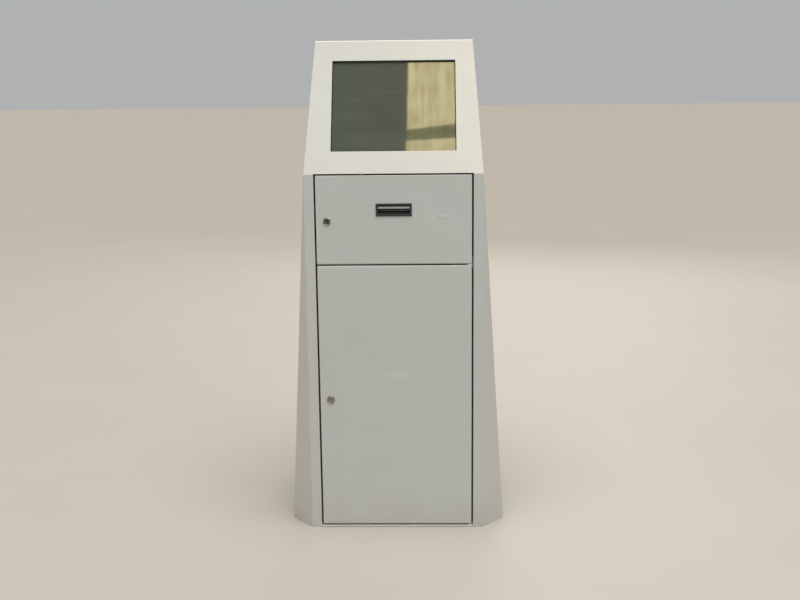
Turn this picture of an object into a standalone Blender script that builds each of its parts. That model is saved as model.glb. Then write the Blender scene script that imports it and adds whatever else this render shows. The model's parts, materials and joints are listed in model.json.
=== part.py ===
"""Freestanding ticket vending machine: a folded sheet-metal kiosk with a sloped screen head,
two lockable doors, a ticket printer, a computer, a fan and a mains inlet.

Metres, +Z up. The front faces -Y and +X is to the right of someone facing it. The origin is on
the floor, in the middle of the machine. Depths written as "behind" run back from the front face.
"""

import math

import bmesh
import bpy
from mathutils import Matrix, Vector

# ---------------------------------------------------------------- driving dimensions
DEPTH = 0.450
FRONT_WIDTH = 0.482
BASE_WIDTH = 0.605
FOLD_HEIGHT = 1.000
HEAD_TILT = math.radians(28.5)
HEAD_LENGTH = 0.400
CHAMFER_DEPTH = 0.070
REAR_TAPER = 0.008  # how far each side closes in per metre towards the rear
SHEET = 0.002
TOUCH = 0.0003
CLEAR = 0.010
PROUD = 0.003

# door opening, doors and their pivots
OPENING_HALF = 0.2143
DOOR_HALF = 0.210
DOOR_DEPTH = 0.016
UPPER_DOOR = (0.7572, 0.9975)
LOWER_DOOR = (0.0092, 0.7528)
LIP_DEPTH = 0.022
STRIP_TOP = 0.0048
NOTCH_HEIGHT = 0.0022
PIVOT_X = 0.2045
PIVOT_BEHIND = 0.0065
PIN_RADIUS = 0.003
PIVOT_HOLE_RADIUS = 0.0032
PIN_ENGAGEMENT = 0.012
PIN_COLLAR_RADIUS = 0.0052
PIVOT_TAB_HALF = 0.0065
PIVOT_TAB_THICKNESS = 0.003
PIVOT_TAB_SETBACK = 0.0008

# base pan, rail, shelf and back
PAN_HEIGHT = 0.025
ANCHOR_X = 0.220
ANCHOR_BEHIND = (0.110, 0.370)
ANCHOR_RADIUS = 0.007
CABLE_HOLE = (-0.085, 0.015, 0.330, 0.390)
REAR_FLANGE = 0.025
RAIL_BEHIND = (0.0225, 0.0525)
RAIL_HEIGHTS = (0.742, 0.768)
SHELF_REAR = 0.395
SHELF_UPSTAND = 0.015
VENT_SLOT_HEIGHT = 0.0035
VENT_ROWS = 8
VENT_SPACING = 0.016
UPPER_VENTS = ((-0.090, 0.090), 1.150)
LOWER_VENTS = ((-0.200, -0.060), 0.240)

# ticket slot
SLOT_HEIGHT = 0.905
BEZEL_HALF = (0.0485, 0.0172)
BEZEL_PROUD = 0.002
BEZEL_BODY_HALF = (0.0455, 0.0142)
BEZEL_DEPTH = 0.024
POCKET_HALF = (0.0430, 0.0137)
POCKET_DEPTH = 0.010
PAPER_SLOT = (0.042, 0.8990, 0.9060)
TEAR_BAR = (0.9075, 0.9138)
TEAR_BAR_DEPTHS = (0.0010, 0.0018, 0.0050)

# cam locks
LOCK_X = -0.1806
LOCK_HEIGHTS = {"upper": 0.8745, "lower": 0.3755}
LOCK_RING_RADIUS = 0.011
LOCK_BODY_RADIUS = 0.0095
LOCK_BORE_RADIUS = 0.0062
LOCK_CORE_RADIUS = 0.0060
LOCK_LENGTH = LIP_DEPTH
LOCK_RING_BEVEL = 0.0008
LOCK_NUT_FLATS = 0.024
LOCK_NUT_THICKNESS = 0.005
CAM_LENGTH = 0.045
CAM_HALF_WIDTH = 0.007
CAM_THICKNESS = 0.0024
TAIL_HALF = 0.003
TAIL_BEYOND_CAM = 0.004
KEY_SLOT_HALF = (0.0011, 0.0043)
KEY_SLOT_DEPTH = 0.012

# screen and monitor, measured up the slope and into the head
SCREEN_HALF = 0.169
SCREEN_UP = (0.0675, 0.3385)
GASKET_DEPTHS = (0.0023, 0.0070)
GASKET_BORDER = 0.006
GLASS_DEPTHS = (0.0073, 0.0103)
GLASS_BORDER = 0.0075
LCD_DEPTHS = (0.0106, 0.0270)
LCD_BORDER = (0.010, 0.012)
MONITOR_DEPTH = 0.065
BRACKET_X = (0.1835, 0.2090)
BRACKET_WEB_DEPTH = 0.050
MONITOR_VENT_ROWS = 6
MONITOR_VENT_START = 0.040

# ticket printer, placed behind the front face and above the floor
PRINTER_HALF = 0.052
PRINTER_BEHIND = (0.038, 0.215)
PRINTER_BASE = 0.7706
PRINTER_TOP = 0.912
PRINTER_FRONT_TOP = 0.885
ROLL_SIDE_TOP = 0.870
PLATEN_AT = (0.062, 0.8955)
PLATEN_RADIUS = 0.007
PLATEN_HALF = 0.041
AXLE_RADIUS = 0.003
COVER_HINGE_AT = (0.106, 0.905)
COVER_PIN_RADIUS = 0.0025
COVER_FRONT = 0.052
COVER_EAR_REACH = 0.006
HEAD_BLOCK_HALF = (0.044, 0.008)
HEAD_BLOCK_CHAMFER = 0.002
HEAD_BLOCK_GAP = 0.0008
CUTTER_DEPTH = 0.012
ROLL_AT = (0.160, 0.846)
ROLL_RADIUS = 0.055
ROLL_HALF = 0.040
CORE_RADII = (0.013, 0.017)
GEAR_MODULE = 0.0008
PLATEN_TEETH = 32
PINION_TEETH = 16
GEAR_FACES = (-0.0590, -0.0545)
PINION_ANGLE = math.radians(-60)
MOTOR_RADIUS = 0.011
MOTOR_LENGTH = 0.016
MOTOR_SHAFT_RADIUS = 0.0018

# computer, power supply, fan and inlet
COMPUTER_X = (0.035, 0.215)
COMPUTER_BEHIND = (0.045, 0.375)
COMPUTER_HEIGHTS = (0.0023, 0.360)
COMPUTER_SHEET = 0.0012
FRONT_COVER_DEPTH = 0.030
BUTTON_AT = (0.180, 0.310)
BUTTON_RADIUS = 0.0090
BUTTON_PROUD = 0.0035
BUTTON_INSIDE = 0.004
SUPPLY_X = (-0.215, -0.115)
SUPPLY_BEHIND = (0.080, 0.280)
SUPPLY_HEIGHT = 0.055
TERMINAL_LEDGE = 0.018
FAN_AT = (-0.110, 0.520)
FAN_SIZE = 0.080
FAN_DEPTH = 0.025
FAN_OPENING_RADIUS = 0.0375
FAN_HUB_RADIUS = 0.016
FAN_PLATE_THICKNESS = 0.003
FAN_STRUT_HALF = 0.002
FAN_BLADES = 7
FAN_BLADE_RADII = (0.014, 0.036)
FAN_BLADE_TWIST = math.radians(14)
FAN_BLADE_HALF_THICKNESS = math.radians(3)
GUARD_RING_RADII = (0.012, 0.022, 0.032)
GUARD_BAR_HALF = 0.0012
INLET_AT = (-0.150, 0.120)
INLET_BODY_HALF = (0.0140, 0.0240)
INLET_FLANGE_HALF = (0.0170, 0.0300)
SOCKET_HALF = (0.0122, 0.0085)
SOCKET_DROP = 0.0110
SOCKET_DEPTH = 0.016
INLET_DEPTH = 0.030
INLET_PIN_HALF = (0.0010, 0.0020)
INLET_PIN_SPACING = 0.007
ROCKER_RISE = 0.0130
ROCKER_HALF = (0.0090, 0.0065)
ROCKER_LIFT = 0.0017
ROCKER_TAPER = 0.0012
ROCKER_DEPTH = 0.0050
ROCKER_VALLEY = 0.0007
ROCKER_TILT = math.radians(10)

# ---------------------------------------------------------------- derived dimensions
FRONT_Y = -DEPTH / 2
REAR_Y = DEPTH / 2
SIDE_RUN = (BASE_WIDTH - FRONT_WIDTH) / 2
SIDE_LEAN = (SIDE_RUN + CHAMFER_DEPTH * REAR_TAPER) / FOLD_HEIGHT
TOP_HEIGHT = FOLD_HEIGHT + HEAD_LENGTH * math.cos(HEAD_TILT)
COVERED = SHEET + TOUCH
INSIDE_FLANGE = COVERED + COVERED
PIVOT_Y = FRONT_Y + PIVOT_BEHIND
FLANGE_BASE = FOLD_HEIGHT + NOTCH_HEIGHT
ROUND_SIDES = 32
SMALL_SIDES = 20
CABLE_RADIUS = 0.0035
CABLE_STEPS = 5
CABLE_STRAIGHT = 0.030
MONITOR_CABLE_AT = (0.100, 0.200)

PAINT = ((0.62, 0.63, 0.60), 0.45, 0.0)
ZINC = ((0.55, 0.56, 0.57), 0.35, 1.0)
CHROME = ((0.80, 0.80, 0.82), 0.12, 1.0)
BRIGHT_BAR = ((0.45, 0.45, 0.40), 0.35, 1.0)
BLACK_PLASTIC = ((0.03, 0.03, 0.03), 0.45, 0.0)
GREY_PLASTIC = ((0.20, 0.21, 0.21), 0.50, 0.0)
WHITE_PLASTIC = ((0.75, 0.74, 0.70), 0.50, 0.0)
BLACK_RUBBER = ((0.02, 0.02, 0.02), 0.70, 0.0)
DARK_GLASS = ((0.05, 0.06, 0.06), 0.05, 0.0)
PAPER = ((0.85, 0.84, 0.80), 0.80, 0.0)
CARDBOARD = ((0.40, 0.29, 0.17), 0.85, 0.0)
BRASS = ((0.70, 0.55, 0.25), 0.30, 1.0)


# ---------------------------------------------------------------- general helpers
def clear_scene():
    for item in list(bpy.data.objects):
        bpy.data.objects.remove(item, do_unlink=True)


def behind(distance):
    """World Y of a point this far behind the front face."""
    return FRONT_Y + distance


def world_place(empty):
    """Where an empty is in the world; the empties here never turn."""
    total = Vector((0, 0, 0))
    while empty:
        total += empty.location
        empty = empty.parent
    return total


def pivot_empty(name, location, parent=None):
    """An empty at a world location on a joint's axis, which that joint's pieces hang from."""
    empty = bpy.data.objects.new(name, None)
    bpy.context.collection.objects.link(empty)
    empty.location = Vector(location) - world_place(parent)
    empty.parent = parent
    return empty


def material_for(name, look):
    colour, roughness, metallic = look
    material = bpy.data.materials.new(name + "_material")
    material.use_nodes = True
    shader = material.node_tree.nodes["Principled BSDF"]
    shader.inputs["Base Color"].default_value = (*colour, 1.0)
    shader.inputs["Roughness"].default_value = roughness
    shader.inputs["Metallic"].default_value = metallic
    return material


def finish(name, body, look, pivot=None):
    """Make a named object from a closed bmesh; a moving one gets its origin on its pivot."""
    bmesh.ops.translate(body, verts=body.verts, vec=-world_place(pivot))
    bmesh.ops.recalc_face_normals(body, faces=body.faces)
    mesh = bpy.data.meshes.new(name)
    body.to_mesh(mesh)
    body.free()
    mesh.materials.append(material_for(name, look))
    mesh.shade_smooth()
    mesh.set_sharp_from_angle(angle=math.radians(30))
    item = bpy.data.objects.new(name, mesh)
    bpy.context.collection.objects.link(item)
    item.parent = pivot
    return item


def combine(first, second, operation):
    """Boolean of two closed bodies; both are used up and the result is returned."""
    holders = []
    for body in (first, second):
        bmesh.ops.recalc_face_normals(body, faces=body.faces)
        mesh = bpy.data.meshes.new("working")
        body.to_mesh(mesh)
        body.free()
        holder = bpy.data.objects.new("working", mesh)
        bpy.context.collection.objects.link(holder)
        holders.append(holder)
    modifier = holders[0].modifiers.new("combine", "BOOLEAN")
    modifier.operation = operation
    modifier.solver = "EXACT"
    modifier.object = holders[1]
    graph = bpy.context.evaluated_depsgraph_get()
    mesh = bpy.data.meshes.new_from_object(holders[0].evaluated_get(graph))
    result = bmesh.new()
    result.from_mesh(mesh)
    bpy.data.meshes.remove(mesh)
    for holder in holders:
        bpy.data.meshes.remove(holder.data)
    return result


def subtract(body, *cutters):
    for cutter in cutters:
        body = combine(body, cutter, "DIFFERENCE")
    return body


def unite(body, *others):
    for other in others:
        body = combine(body, other, "UNION")
    return body


def box(x_range, y_range, z_range):
    """Box between the given lowest and highest coordinates."""
    body = bmesh.new()
    bmesh.ops.create_cube(body, size=1.0)
    spans = (x_range, y_range, z_range)
    for vertex in body.verts:
        for axis, (low, high) in enumerate(spans):
            vertex.co[axis] = low + (vertex.co[axis] + 0.5) * (high - low)
    return body


def place(axis, along, first, second):
    """Point at a distance along the named axis; the other two coordinates keep X, Y, Z order."""
    if axis == "X":
        return Vector((along, first, second))
    if axis == "Y":
        return Vector((first, along, second))
    return Vector((first, second, along))


def prism(outline, axis, low, high):
    """Flat outline of two-coordinate points, extruded along the named axis."""
    body = bmesh.new()
    ends = []
    for along in (low, high):
        ring = [body.verts.new(place(axis, along, first, second)) for first, second in outline]
        body.faces.new(ring)
        ends.append(ring)
    count = len(outline)
    for index in range(count):
        after = (index + 1) % count
        body.faces.new((ends[0][index], ends[0][after], ends[1][after], ends[1][index]))
    bmesh.ops.recalc_face_normals(body, faces=body.faces)
    return body


def turned(profile, axis, centre, sides=ROUND_SIDES):
    """Body of revolution from a closed loop of (radius, distance along the axis) points."""
    body = bmesh.new()
    rings = []
    for radius, along in profile:
        if radius == 0:
            rings.append([body.verts.new(place(axis, along, *centre))] * sides)
            continue
        ring = []
        for step in range(sides):
            angle = 2 * math.pi * step / sides
            first = centre[0] + radius * math.cos(angle)
            second = centre[1] + radius * math.sin(angle)
            ring.append(body.verts.new(place(axis, along, first, second)))
        rings.append(ring)
    for near, far in zip(rings, rings[1:] + rings[:1]):
        for step in range(sides):
            after = (step + 1) % sides
            corners = list(dict.fromkeys((near[step], near[after], far[after], far[step])))
            if len(corners) > 2:
                body.faces.new(corners)
    bmesh.ops.recalc_face_normals(body, faces=body.faces)
    return body


def rod(radius, axis, centre, low, high, sides=ROUND_SIDES):
    return turned(((0, low), (radius, low), (radius, high), (0, high)), axis, centre, sides)


def solid_from_planes(planes):
    """Convex solid that lies inside every (point, outward normal) plane."""
    body = bmesh.new()
    bmesh.ops.create_cube(body, size=4.0)
    for point, normal in planes:
        whole = body.verts[:] + body.edges[:] + body.faces[:]
        plane = {"plane_co": point, "plane_no": normal, "clear_outer": True}
        cut = bmesh.ops.bisect_plane(body, geom=whole, dist=1e-6, **plane)
        rim = [part for part in cut["geom_cut"] if isinstance(part, bmesh.types.BMEdge)]
        if rim:
            bmesh.ops.contextual_create(body, geom=rim)
    bmesh.ops.recalc_face_normals(body, faces=body.faces)
    return body


# ---------------------------------------------------------------- the cabinet's outer form
def envelope(front=0.0, facet=0.0, side=0.0, slope=0.0, top=0.0, rear=0.0, bottom=0.0):
    """Planes of the cabinet's outer form, each moved inwards by its own inset."""
    planes = [
        (Vector((0, FRONT_Y, 0)), Vector((0, -1, 0)), front),
        (Vector((0, FRONT_Y, FOLD_HEIGHT)), Vector((0, -math.cos(HEAD_TILT), math.sin(HEAD_TILT))), slope),
        (Vector((0, 0, TOP_HEIGHT)), Vector((0, 0, 1)), top),
        (Vector((0, REAR_Y, 0)), Vector((0, 1, 0)), rear),
        (Vector((0, 0, 0)), Vector((0, 0, -1)), bottom),
    ]
    for sign in (-1, 1):
        corner = Vector((sign * FRONT_WIDTH / 2, FRONT_Y, FOLD_HEIGHT))
        planes.append((corner, Vector((sign, REAR_TAPER, SIDE_LEAN)).normalized(), side))
        planes.append((corner, Vector((sign * CHAMFER_DEPTH, -SIDE_RUN, 0)).normalized(), facet))
    return [(point - normal * inset, normal) for point, normal, inset in planes]


def below_mitre(gap):
    """Everything below the plane that halves the bend between the front and the head."""
    half = HEAD_TILT / 2
    normal = Vector((0, math.sin(half), math.cos(half)))
    return Vector((0, FRONT_Y, FOLD_HEIGHT)) + normal * gap, normal


def slope_box(x_range, up_range, depth_range):
    """Box square to the head: across, up the slope, and inwards from its outer face."""
    sine = math.sin(HEAD_TILT)
    cosine = math.cos(HEAD_TILT)
    body = box(x_range, up_range, (-depth_range[1], -depth_range[0]))
    turn = Matrix(((1, 0, 0, 0), (0, sine, -cosine, FRONT_Y), (0, cosine, sine, FOLD_HEIGHT), (0, 0, 0, 1)))
    bmesh.ops.transform(body, matrix=turn, verts=body.verts)
    return body


# ---------------------------------------------------------------- cabinet sheet metal
def side_panel(sign):
    """Pillar, facet and leaning side folded from one sheet, with a lip round the doors."""
    opening_edge = (Vector((sign * OPENING_HALF, 0, 0)), Vector((-sign, 0, 0)))
    lip_inside = (Vector((sign * (OPENING_HALF + SHEET), 0, 0)), Vector((-sign, 0, 0)))
    outer = solid_from_planes(envelope(slope=COVERED, top=COVERED, rear=COVERED) + [opening_edge])
    inner = envelope(SHEET, SHEET, SHEET, -CLEAR, -CLEAR, INSIDE_FLANGE - TOUCH, -CLEAR)
    panel = subtract(outer, solid_from_planes(inner + [lip_inside]))
    lip_back = (Vector((sign * (OPENING_HALF + SHEET + TOUCH), 0, 0)), Vector((sign, 0, 0)))
    inset = SHEET + TOUCH / 3
    near_lip = envelope(SHEET, inset, inset, -CLEAR, -CLEAR, INSIDE_FLANGE, -CLEAR) + [lip_back]
    behind_lip = solid_from_planes(near_lip + [(Vector((0, behind(LIP_DEPTH), 0)), Vector((0, -1, 0)))])
    below_lip = solid_from_planes(near_lip + [(Vector((0, 0, PAN_HEIGHT + TOUCH)), Vector((0, 0, 1)))])
    above_lip = solid_from_planes(near_lip + [(Vector((0, 0, UPPER_DOOR[1] - SHEET)), Vector((0, 0, -1)))])
    past_flange = envelope(DEPTH / 2, -CLEAR, REAR_FLANGE, -CLEAR, -CLEAR, -CLEAR, -CLEAR)
    panel = subtract(panel, behind_lip, below_lip, above_lip, solid_from_planes(past_flange))
    strip_behind = (Vector((0, behind(SHEET), 0)), Vector((0, 1, 0)))
    strip_below = (Vector((0, 0, UPPER_DOOR[0])), Vector((0, 0, -1)))
    strip = solid_from_planes(envelope() + [opening_edge, strip_behind, strip_below, below_mitre(-TOUCH / 2)])
    return unite(panel, strip)


def head_panel():
    """Sloped front and flat top in one folded sheet, with the screen opening."""
    inner = envelope(-CLEAR, -CLEAR, -CLEAR, SHEET, SHEET, -CLEAR, -CLEAR)
    panel = subtract(solid_from_planes(envelope()), solid_from_planes(inner))
    notch_heights = (FOLD_HEIGHT - CLEAR, FLANGE_BASE)
    notch = box((-OPENING_HALF, OPENING_HALF), (FRONT_Y - CLEAR, behind(LIP_DEPTH)), notch_heights)
    panel = subtract(panel, solid_from_planes([below_mitre(TOUCH / 2)]), notch)
    flange_half = OPENING_HALF - TOUCH
    flange_start = SHEET + TOUCH
    flange_heights = (FLANGE_BASE, FLANGE_BASE + SHEET)
    flange = box((-flange_half, flange_half), (behind(flange_start), behind(LIP_DEPTH)), flange_heights)
    panel = unite(panel, flange)
    opening = slope_box((-SCREEN_HALF, SCREEN_HALF), SCREEN_UP, (-CLEAR, CLEAR))
    flange_top = FLANGE_BASE + SHEET + TOUCH
    pin_hole = rod(PIN_RADIUS + TOUCH, "Z", (PIVOT_X, PIVOT_Y), FOLD_HEIGHT, flange_top, SMALL_SIDES)
    return subtract(panel, opening, pin_hole)


def base_pan():
    """Floor tray with upstands, anchor holes, a cable hole and the strip under the door."""
    rim = (Vector((0, 0, PAN_HEIGHT)), Vector((0, 0, 1)))
    outer = solid_from_planes(envelope(COVERED, COVERED, COVERED, rear=INSIDE_FLANGE) + [rim])
    wall = COVERED + SHEET
    hollow = solid_from_planes(envelope(wall, wall, wall, rear=INSIDE_FLANGE + SHEET, bottom=SHEET))
    door_span = (-OPENING_HALF - SHEET - TOUCH, OPENING_HALF + SHEET + TOUCH)
    doorway = box(door_span, (FRONT_Y, behind(LIP_DEPTH)), (STRIP_TOP, PAN_HEIGHT + CLEAR))
    strip_half = OPENING_HALF - TOUCH
    strip = box((-strip_half, strip_half), (FRONT_Y, behind(SHEET + CLEAR / 10)), (0, STRIP_TOP))
    pan = unite(subtract(outer, hollow, doorway), strip)
    for x in (-ANCHOR_X, ANCHOR_X):
        for distance in ANCHOR_BEHIND:
            hole = rod(ANCHOR_RADIUS, "Z", (x, behind(distance)), -CLEAR, CLEAR, SMALL_SIDES)
            pan = subtract(pan, hole)
    left, right, near, far = CABLE_HOLE
    cable_hole = box((left, right), (behind(near), behind(far)), (-CLEAR, CLEAR))
    pin_hole = rod(PIN_RADIUS + TOUCH, "Z", (PIVOT_X, PIVOT_Y), -CLEAR, CLEAR, SMALL_SIDES)
    return subtract(pan, cable_hole, pin_hole)


def vent_slots(x_range, first_height):
    """Horizontal slots through the back panel, one above another."""
    body = bmesh.new()
    for row in range(VENT_ROWS):
        low = first_height + row * VENT_SPACING
        slot = box(x_range, (REAR_Y - CLEAR, REAR_Y + CLEAR), (low, low + VENT_SLOT_HEIGHT))
        mesh = bpy.data.meshes.new("working")
        slot.to_mesh(mesh)
        slot.free()
        body.from_mesh(mesh)
        bpy.data.meshes.remove(mesh)
    return body


def back_panel():
    """Flat screwed-on back with vent slots, the fan opening and the inlet cut-out."""
    inside = (Vector((0, REAR_Y - SHEET, 0)), Vector((0, -1, 0)))
    panel = solid_from_planes(envelope(top=COVERED) + [inside])
    panel = subtract(panel, vent_slots(*UPPER_VENTS), vent_slots(*LOWER_VENTS))
    fan_hole = rod(FAN_OPENING_RADIUS, "Y", FAN_AT, REAR_Y - CLEAR, REAR_Y + CLEAR)
    inlet_x, inlet_z = INLET_AT
    half_width = INLET_BODY_HALF[0] + TOUCH
    half_height = INLET_BODY_HALF[1] + TOUCH
    heights = (inlet_z - half_height, inlet_z + half_height)
    inlet_hole = box((inlet_x - half_width, inlet_x + half_width), (REAR_Y - CLEAR, REAR_Y + CLEAR), heights)
    return subtract(panel, fan_hole, inlet_hole)


def middle_rail():
    """Channel across the cabinet behind the gap between the doors."""
    near, far = RAIL_BEHIND
    low, high = RAIL_HEIGHTS
    ends = envelope(facet=COVERED, side=COVERED)
    planes = [
        (Vector((0, behind(near), 0)), Vector((0, -1, 0))),
        (Vector((0, behind(far), 0)), Vector((0, 1, 0))),
        (Vector((0, 0, low)), Vector((0, 0, -1))),
        (Vector((0, 0, high)), Vector((0, 0, 1))),
    ]
    hollow = box((-BASE_WIDTH, BASE_WIDTH), (behind(near + SHEET), REAR_Y), (low + SHEET, high - SHEET))
    return subtract(solid_from_planes(ends + planes), hollow)


def printer_shelf():
    """Flat shelf on the rail, with a raised rear edge."""
    low = RAIL_HEIGHTS[1] + TOUCH
    near = RAIL_BEHIND[0]
    planes = [
        (Vector((0, behind(near), 0)), Vector((0, -1, 0))),
        (Vector((0, behind(SHELF_REAR), 0)), Vector((0, 1, 0))),
        (Vector((0, 0, low)), Vector((0, 0, -1))),
        (Vector((0, 0, low + SHEET + SHELF_UPSTAND)), Vector((0, 0, 1))),
    ]
    above = box((-BASE_WIDTH, BASE_WIDTH), (FRONT_Y, behind(SHELF_REAR - SHEET)), (low + SHEET, FOLD_HEIGHT))
    return subtract(solid_from_planes(envelope(facet=COVERED, side=COVERED) + planes), above)


# ---------------------------------------------------------------- doors, pivots and locks
def door_pan(heights):
    """Folded door: a skin with a rim all round, open at the back."""
    low, high = heights
    outer = box((-DOOR_HALF, DOOR_HALF), (FRONT_Y, behind(DOOR_DEPTH)), (low, high))
    inner_half = DOOR_HALF - SHEET
    inner_heights = (low + SHEET, high - SHEET)
    inner = box((-inner_half, inner_half), (behind(SHEET), behind(DOOR_DEPTH + CLEAR)), inner_heights)
    pivot = (PIVOT_X, PIVOT_Y)
    pin_holes = rod(PIVOT_HOLE_RADIUS, "Z", pivot, low - CLEAR, high + CLEAR, SMALL_SIDES)
    return subtract(outer, inner, pin_holes)


def lock_hole(height):
    return rod(LOCK_BODY_RADIUS + TOUCH, "Y", (LOCK_X, height), FRONT_Y - CLEAR, FRONT_Y + CLEAR)


def upper_door():
    half_x = BEZEL_BODY_HALF[0] + TOUCH
    half_z = BEZEL_BODY_HALF[1] + TOUCH
    heights = (SLOT_HEIGHT - half_z, SLOT_HEIGHT + half_z)
    slot_hole = box((-half_x, half_x), (FRONT_Y - CLEAR, FRONT_Y + CLEAR), heights)
    return subtract(door_pan(UPPER_DOOR), slot_hole, lock_hole(LOCK_HEIGHTS["upper"]))


def lower_door():
    return subtract(door_pan(LOWER_DOOR), lock_hole(LOCK_HEIGHTS["lower"]))


def pivot_tab():
    """Plate in the gap between the doors that carries the middle pivot pin."""
    middle = (UPPER_DOOR[0] + LOWER_DOOR[1]) / 2
    x_range = (PIVOT_X - PIVOT_TAB_HALF, PIVOT_X + PIVOT_TAB_HALF)
    y_range = (behind(PIVOT_TAB_SETBACK), behind(RAIL_BEHIND[0] - TOUCH))
    heights = (middle - PIVOT_TAB_THICKNESS / 2, middle + PIVOT_TAB_THICKNESS / 2)
    low, high = heights
    hole = rod(PIN_RADIUS + TOUCH, "Z", (PIVOT_X, PIVOT_Y), low - CLEAR, high + CLEAR, SMALL_SIDES)
    return subtract(box(x_range, y_range, heights), hole)


def plain_pin(low, high):
    return rod(PIN_RADIUS, "Z", (PIVOT_X, PIVOT_Y), low, high, SMALL_SIDES)


def collared_pin(low, high, collar_low, collar_high):
    """Pin with a wider collar that carries a door's weight."""
    profile = (
        (0, low),
        (PIN_RADIUS, low),
        (PIN_RADIUS, collar_low),
        (PIN_COLLAR_RADIUS, collar_low),
        (PIN_COLLAR_RADIUS, collar_high),
        (PIN_RADIUS, collar_high),
        (PIN_RADIUS, high),
        (0, high),
    )
    return turned(profile, "Z", (PIVOT_X, PIVOT_Y), SMALL_SIDES)


def make_pivot_pins():
    finish("pivot_pin_top", plain_pin(UPPER_DOOR[1] - PIN_ENGAGEMENT, FLANGE_BASE + SHEET), ZINC)
    middle = plain_pin(LOWER_DOOR[1] - PIN_ENGAGEMENT, UPPER_DOOR[0] + PIN_ENGAGEMENT)
    finish("pivot_pin_middle", middle, ZINC)
    bottom_top = LOWER_DOOR[0] + PIN_ENGAGEMENT
    bottom = collared_pin(0, bottom_top, STRIP_TOP + TOUCH, LOWER_DOOR[0] - TOUCH)
    finish("pivot_pin_bottom", bottom, ZINC)


def lock_housing(height):
    """Threaded lock body with a round face ring proud of the door."""
    face = FRONT_Y - PROUD
    seat = FRONT_Y - TOUCH
    bevel = LOCK_RING_BEVEL
    profile = (
        (LOCK_BORE_RADIUS, face + bevel / 2),
        (LOCK_BORE_RADIUS + bevel, face),
        (LOCK_RING_RADIUS - bevel, face),
        (LOCK_RING_RADIUS, face + bevel),
        (LOCK_RING_RADIUS, seat),
        (LOCK_BODY_RADIUS, seat),
        (LOCK_BODY_RADIUS, behind(LOCK_LENGTH)),
        (LOCK_BORE_RADIUS, behind(LOCK_LENGTH)),
    )
    return turned(profile, "Y", (LOCK_X, height))


def lock_nut(height):
    """Hexagon nut that clamps the lock body behind the door skin."""
    across_corners = LOCK_NUT_FLATS / math.cos(math.pi / 6)
    outline = []
    for corner in range(6):
        angle = math.pi / 3 * corner
        x = LOCK_X + across_corners / 2 * math.cos(angle)
        outline.append((x, height + across_corners / 2 * math.sin(angle)))
    start = behind(SHEET + TOUCH)
    nut = prism(outline, "Y", start, start + LOCK_NUT_THICKNESS)
    hole = rod(LOCK_BODY_RADIUS + TOUCH, "Y", (LOCK_X, height), start - CLEAR, start + CLEAR)
    return subtract(nut, hole)


def lock_core(height):
    """Turning cylinder with a vertical key slot and a square tail for the cam."""
    face = FRONT_Y - PROUD / 2
    barrel = rod(LOCK_CORE_RADIUS, "Y", (LOCK_X, height), face, behind(LOCK_LENGTH + TOUCH))
    tail_end = behind(LOCK_LENGTH + CAM_THICKNESS + TAIL_BEYOND_CAM)
    tail = box(
        (LOCK_X - TAIL_HALF, LOCK_X + TAIL_HALF),
        (behind(LOCK_LENGTH - CLEAR / 10), tail_end),
        (height - TAIL_HALF, height + TAIL_HALF),
    )
    half_x, half_z = KEY_SLOT_HALF
    key_slot = box(
        (LOCK_X - half_x, LOCK_X + half_x),
        (face - CLEAR, face + KEY_SLOT_DEPTH),
        (height - half_z, height + half_z),
    )
    return subtract(unite(barrel, tail), key_slot)


def lock_cam(height):
    """Bar on the core's tail; it hangs down while the lock is open."""
    outline = []
    for step in range(9):
        angle = math.pi * step / 8
        x = LOCK_X + CAM_HALF_WIDTH * math.cos(angle)
        outline.append((x, height + CAM_HALF_WIDTH * math.sin(angle)))
    outline.append((LOCK_X - CAM_HALF_WIDTH, height - CAM_LENGTH))
    outline.append((LOCK_X + CAM_HALF_WIDTH, height - CAM_LENGTH))
    start = behind(LOCK_LENGTH + 2 * TOUCH)
    cam = prism(outline, "Y", start, start + CAM_THICKNESS)
    half = TAIL_HALF + TOUCH
    hole = box((LOCK_X - half, LOCK_X + half), (start - CLEAR, start + CLEAR), (height - half, height + half))
    return subtract(cam, hole)


def ticket_bezel():
    """Black moulding through the upper door: a pocket whose floor slopes up to the ticket slot."""
    half_x, half_z = BEZEL_HALF
    flange_heights = (SLOT_HEIGHT - half_z, SLOT_HEIGHT + half_z)
    flange = box((-half_x, half_x), (FRONT_Y - BEZEL_PROUD, FRONT_Y - TOUCH), flange_heights)
    body_x, body_z = BEZEL_BODY_HALF
    body_heights = (SLOT_HEIGHT - body_z, SLOT_HEIGHT + body_z)
    body = box((-body_x, body_x), (FRONT_Y - BEZEL_PROUD / 2, behind(BEZEL_DEPTH)), body_heights)
    pocket_x, pocket_z = POCKET_HALF
    slot_x, slot_low, slot_high = PAPER_SLOT
    slot_depths = (behind(POCKET_DEPTH - CLEAR / 10), behind(BEZEL_DEPTH + CLEAR))
    mouth = FRONT_Y - BEZEL_PROUD - TOUCH
    pocket_outline = (
        (mouth, SLOT_HEIGHT - pocket_z),
        (behind(POCKET_DEPTH), slot_low),
        (behind(POCKET_DEPTH), SLOT_HEIGHT + pocket_z),
        (mouth, SLOT_HEIGHT + pocket_z),
    )
    pocket = prism(pocket_outline, "X", -pocket_x, pocket_x)
    slot = box((-slot_x, slot_x), slot_depths, (slot_low, slot_high))
    return subtract(unite(flange, body), pocket, slot)


def tear_bar():
    """Metal bar across the pocket above the ticket slot, sharp along its lower front edge."""
    low, high = TEAR_BAR
    half = POCKET_HALF[0] - TOUCH
    near, edge, far = TEAR_BAR_DEPTHS
    outline = (
        (behind(near), low + near),
        (behind(edge), low),
        (behind(far), low + SHEET),
        (behind(far), high),
        (behind(near), high),
    )
    return prism(outline, "X", -half, half)


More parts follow.
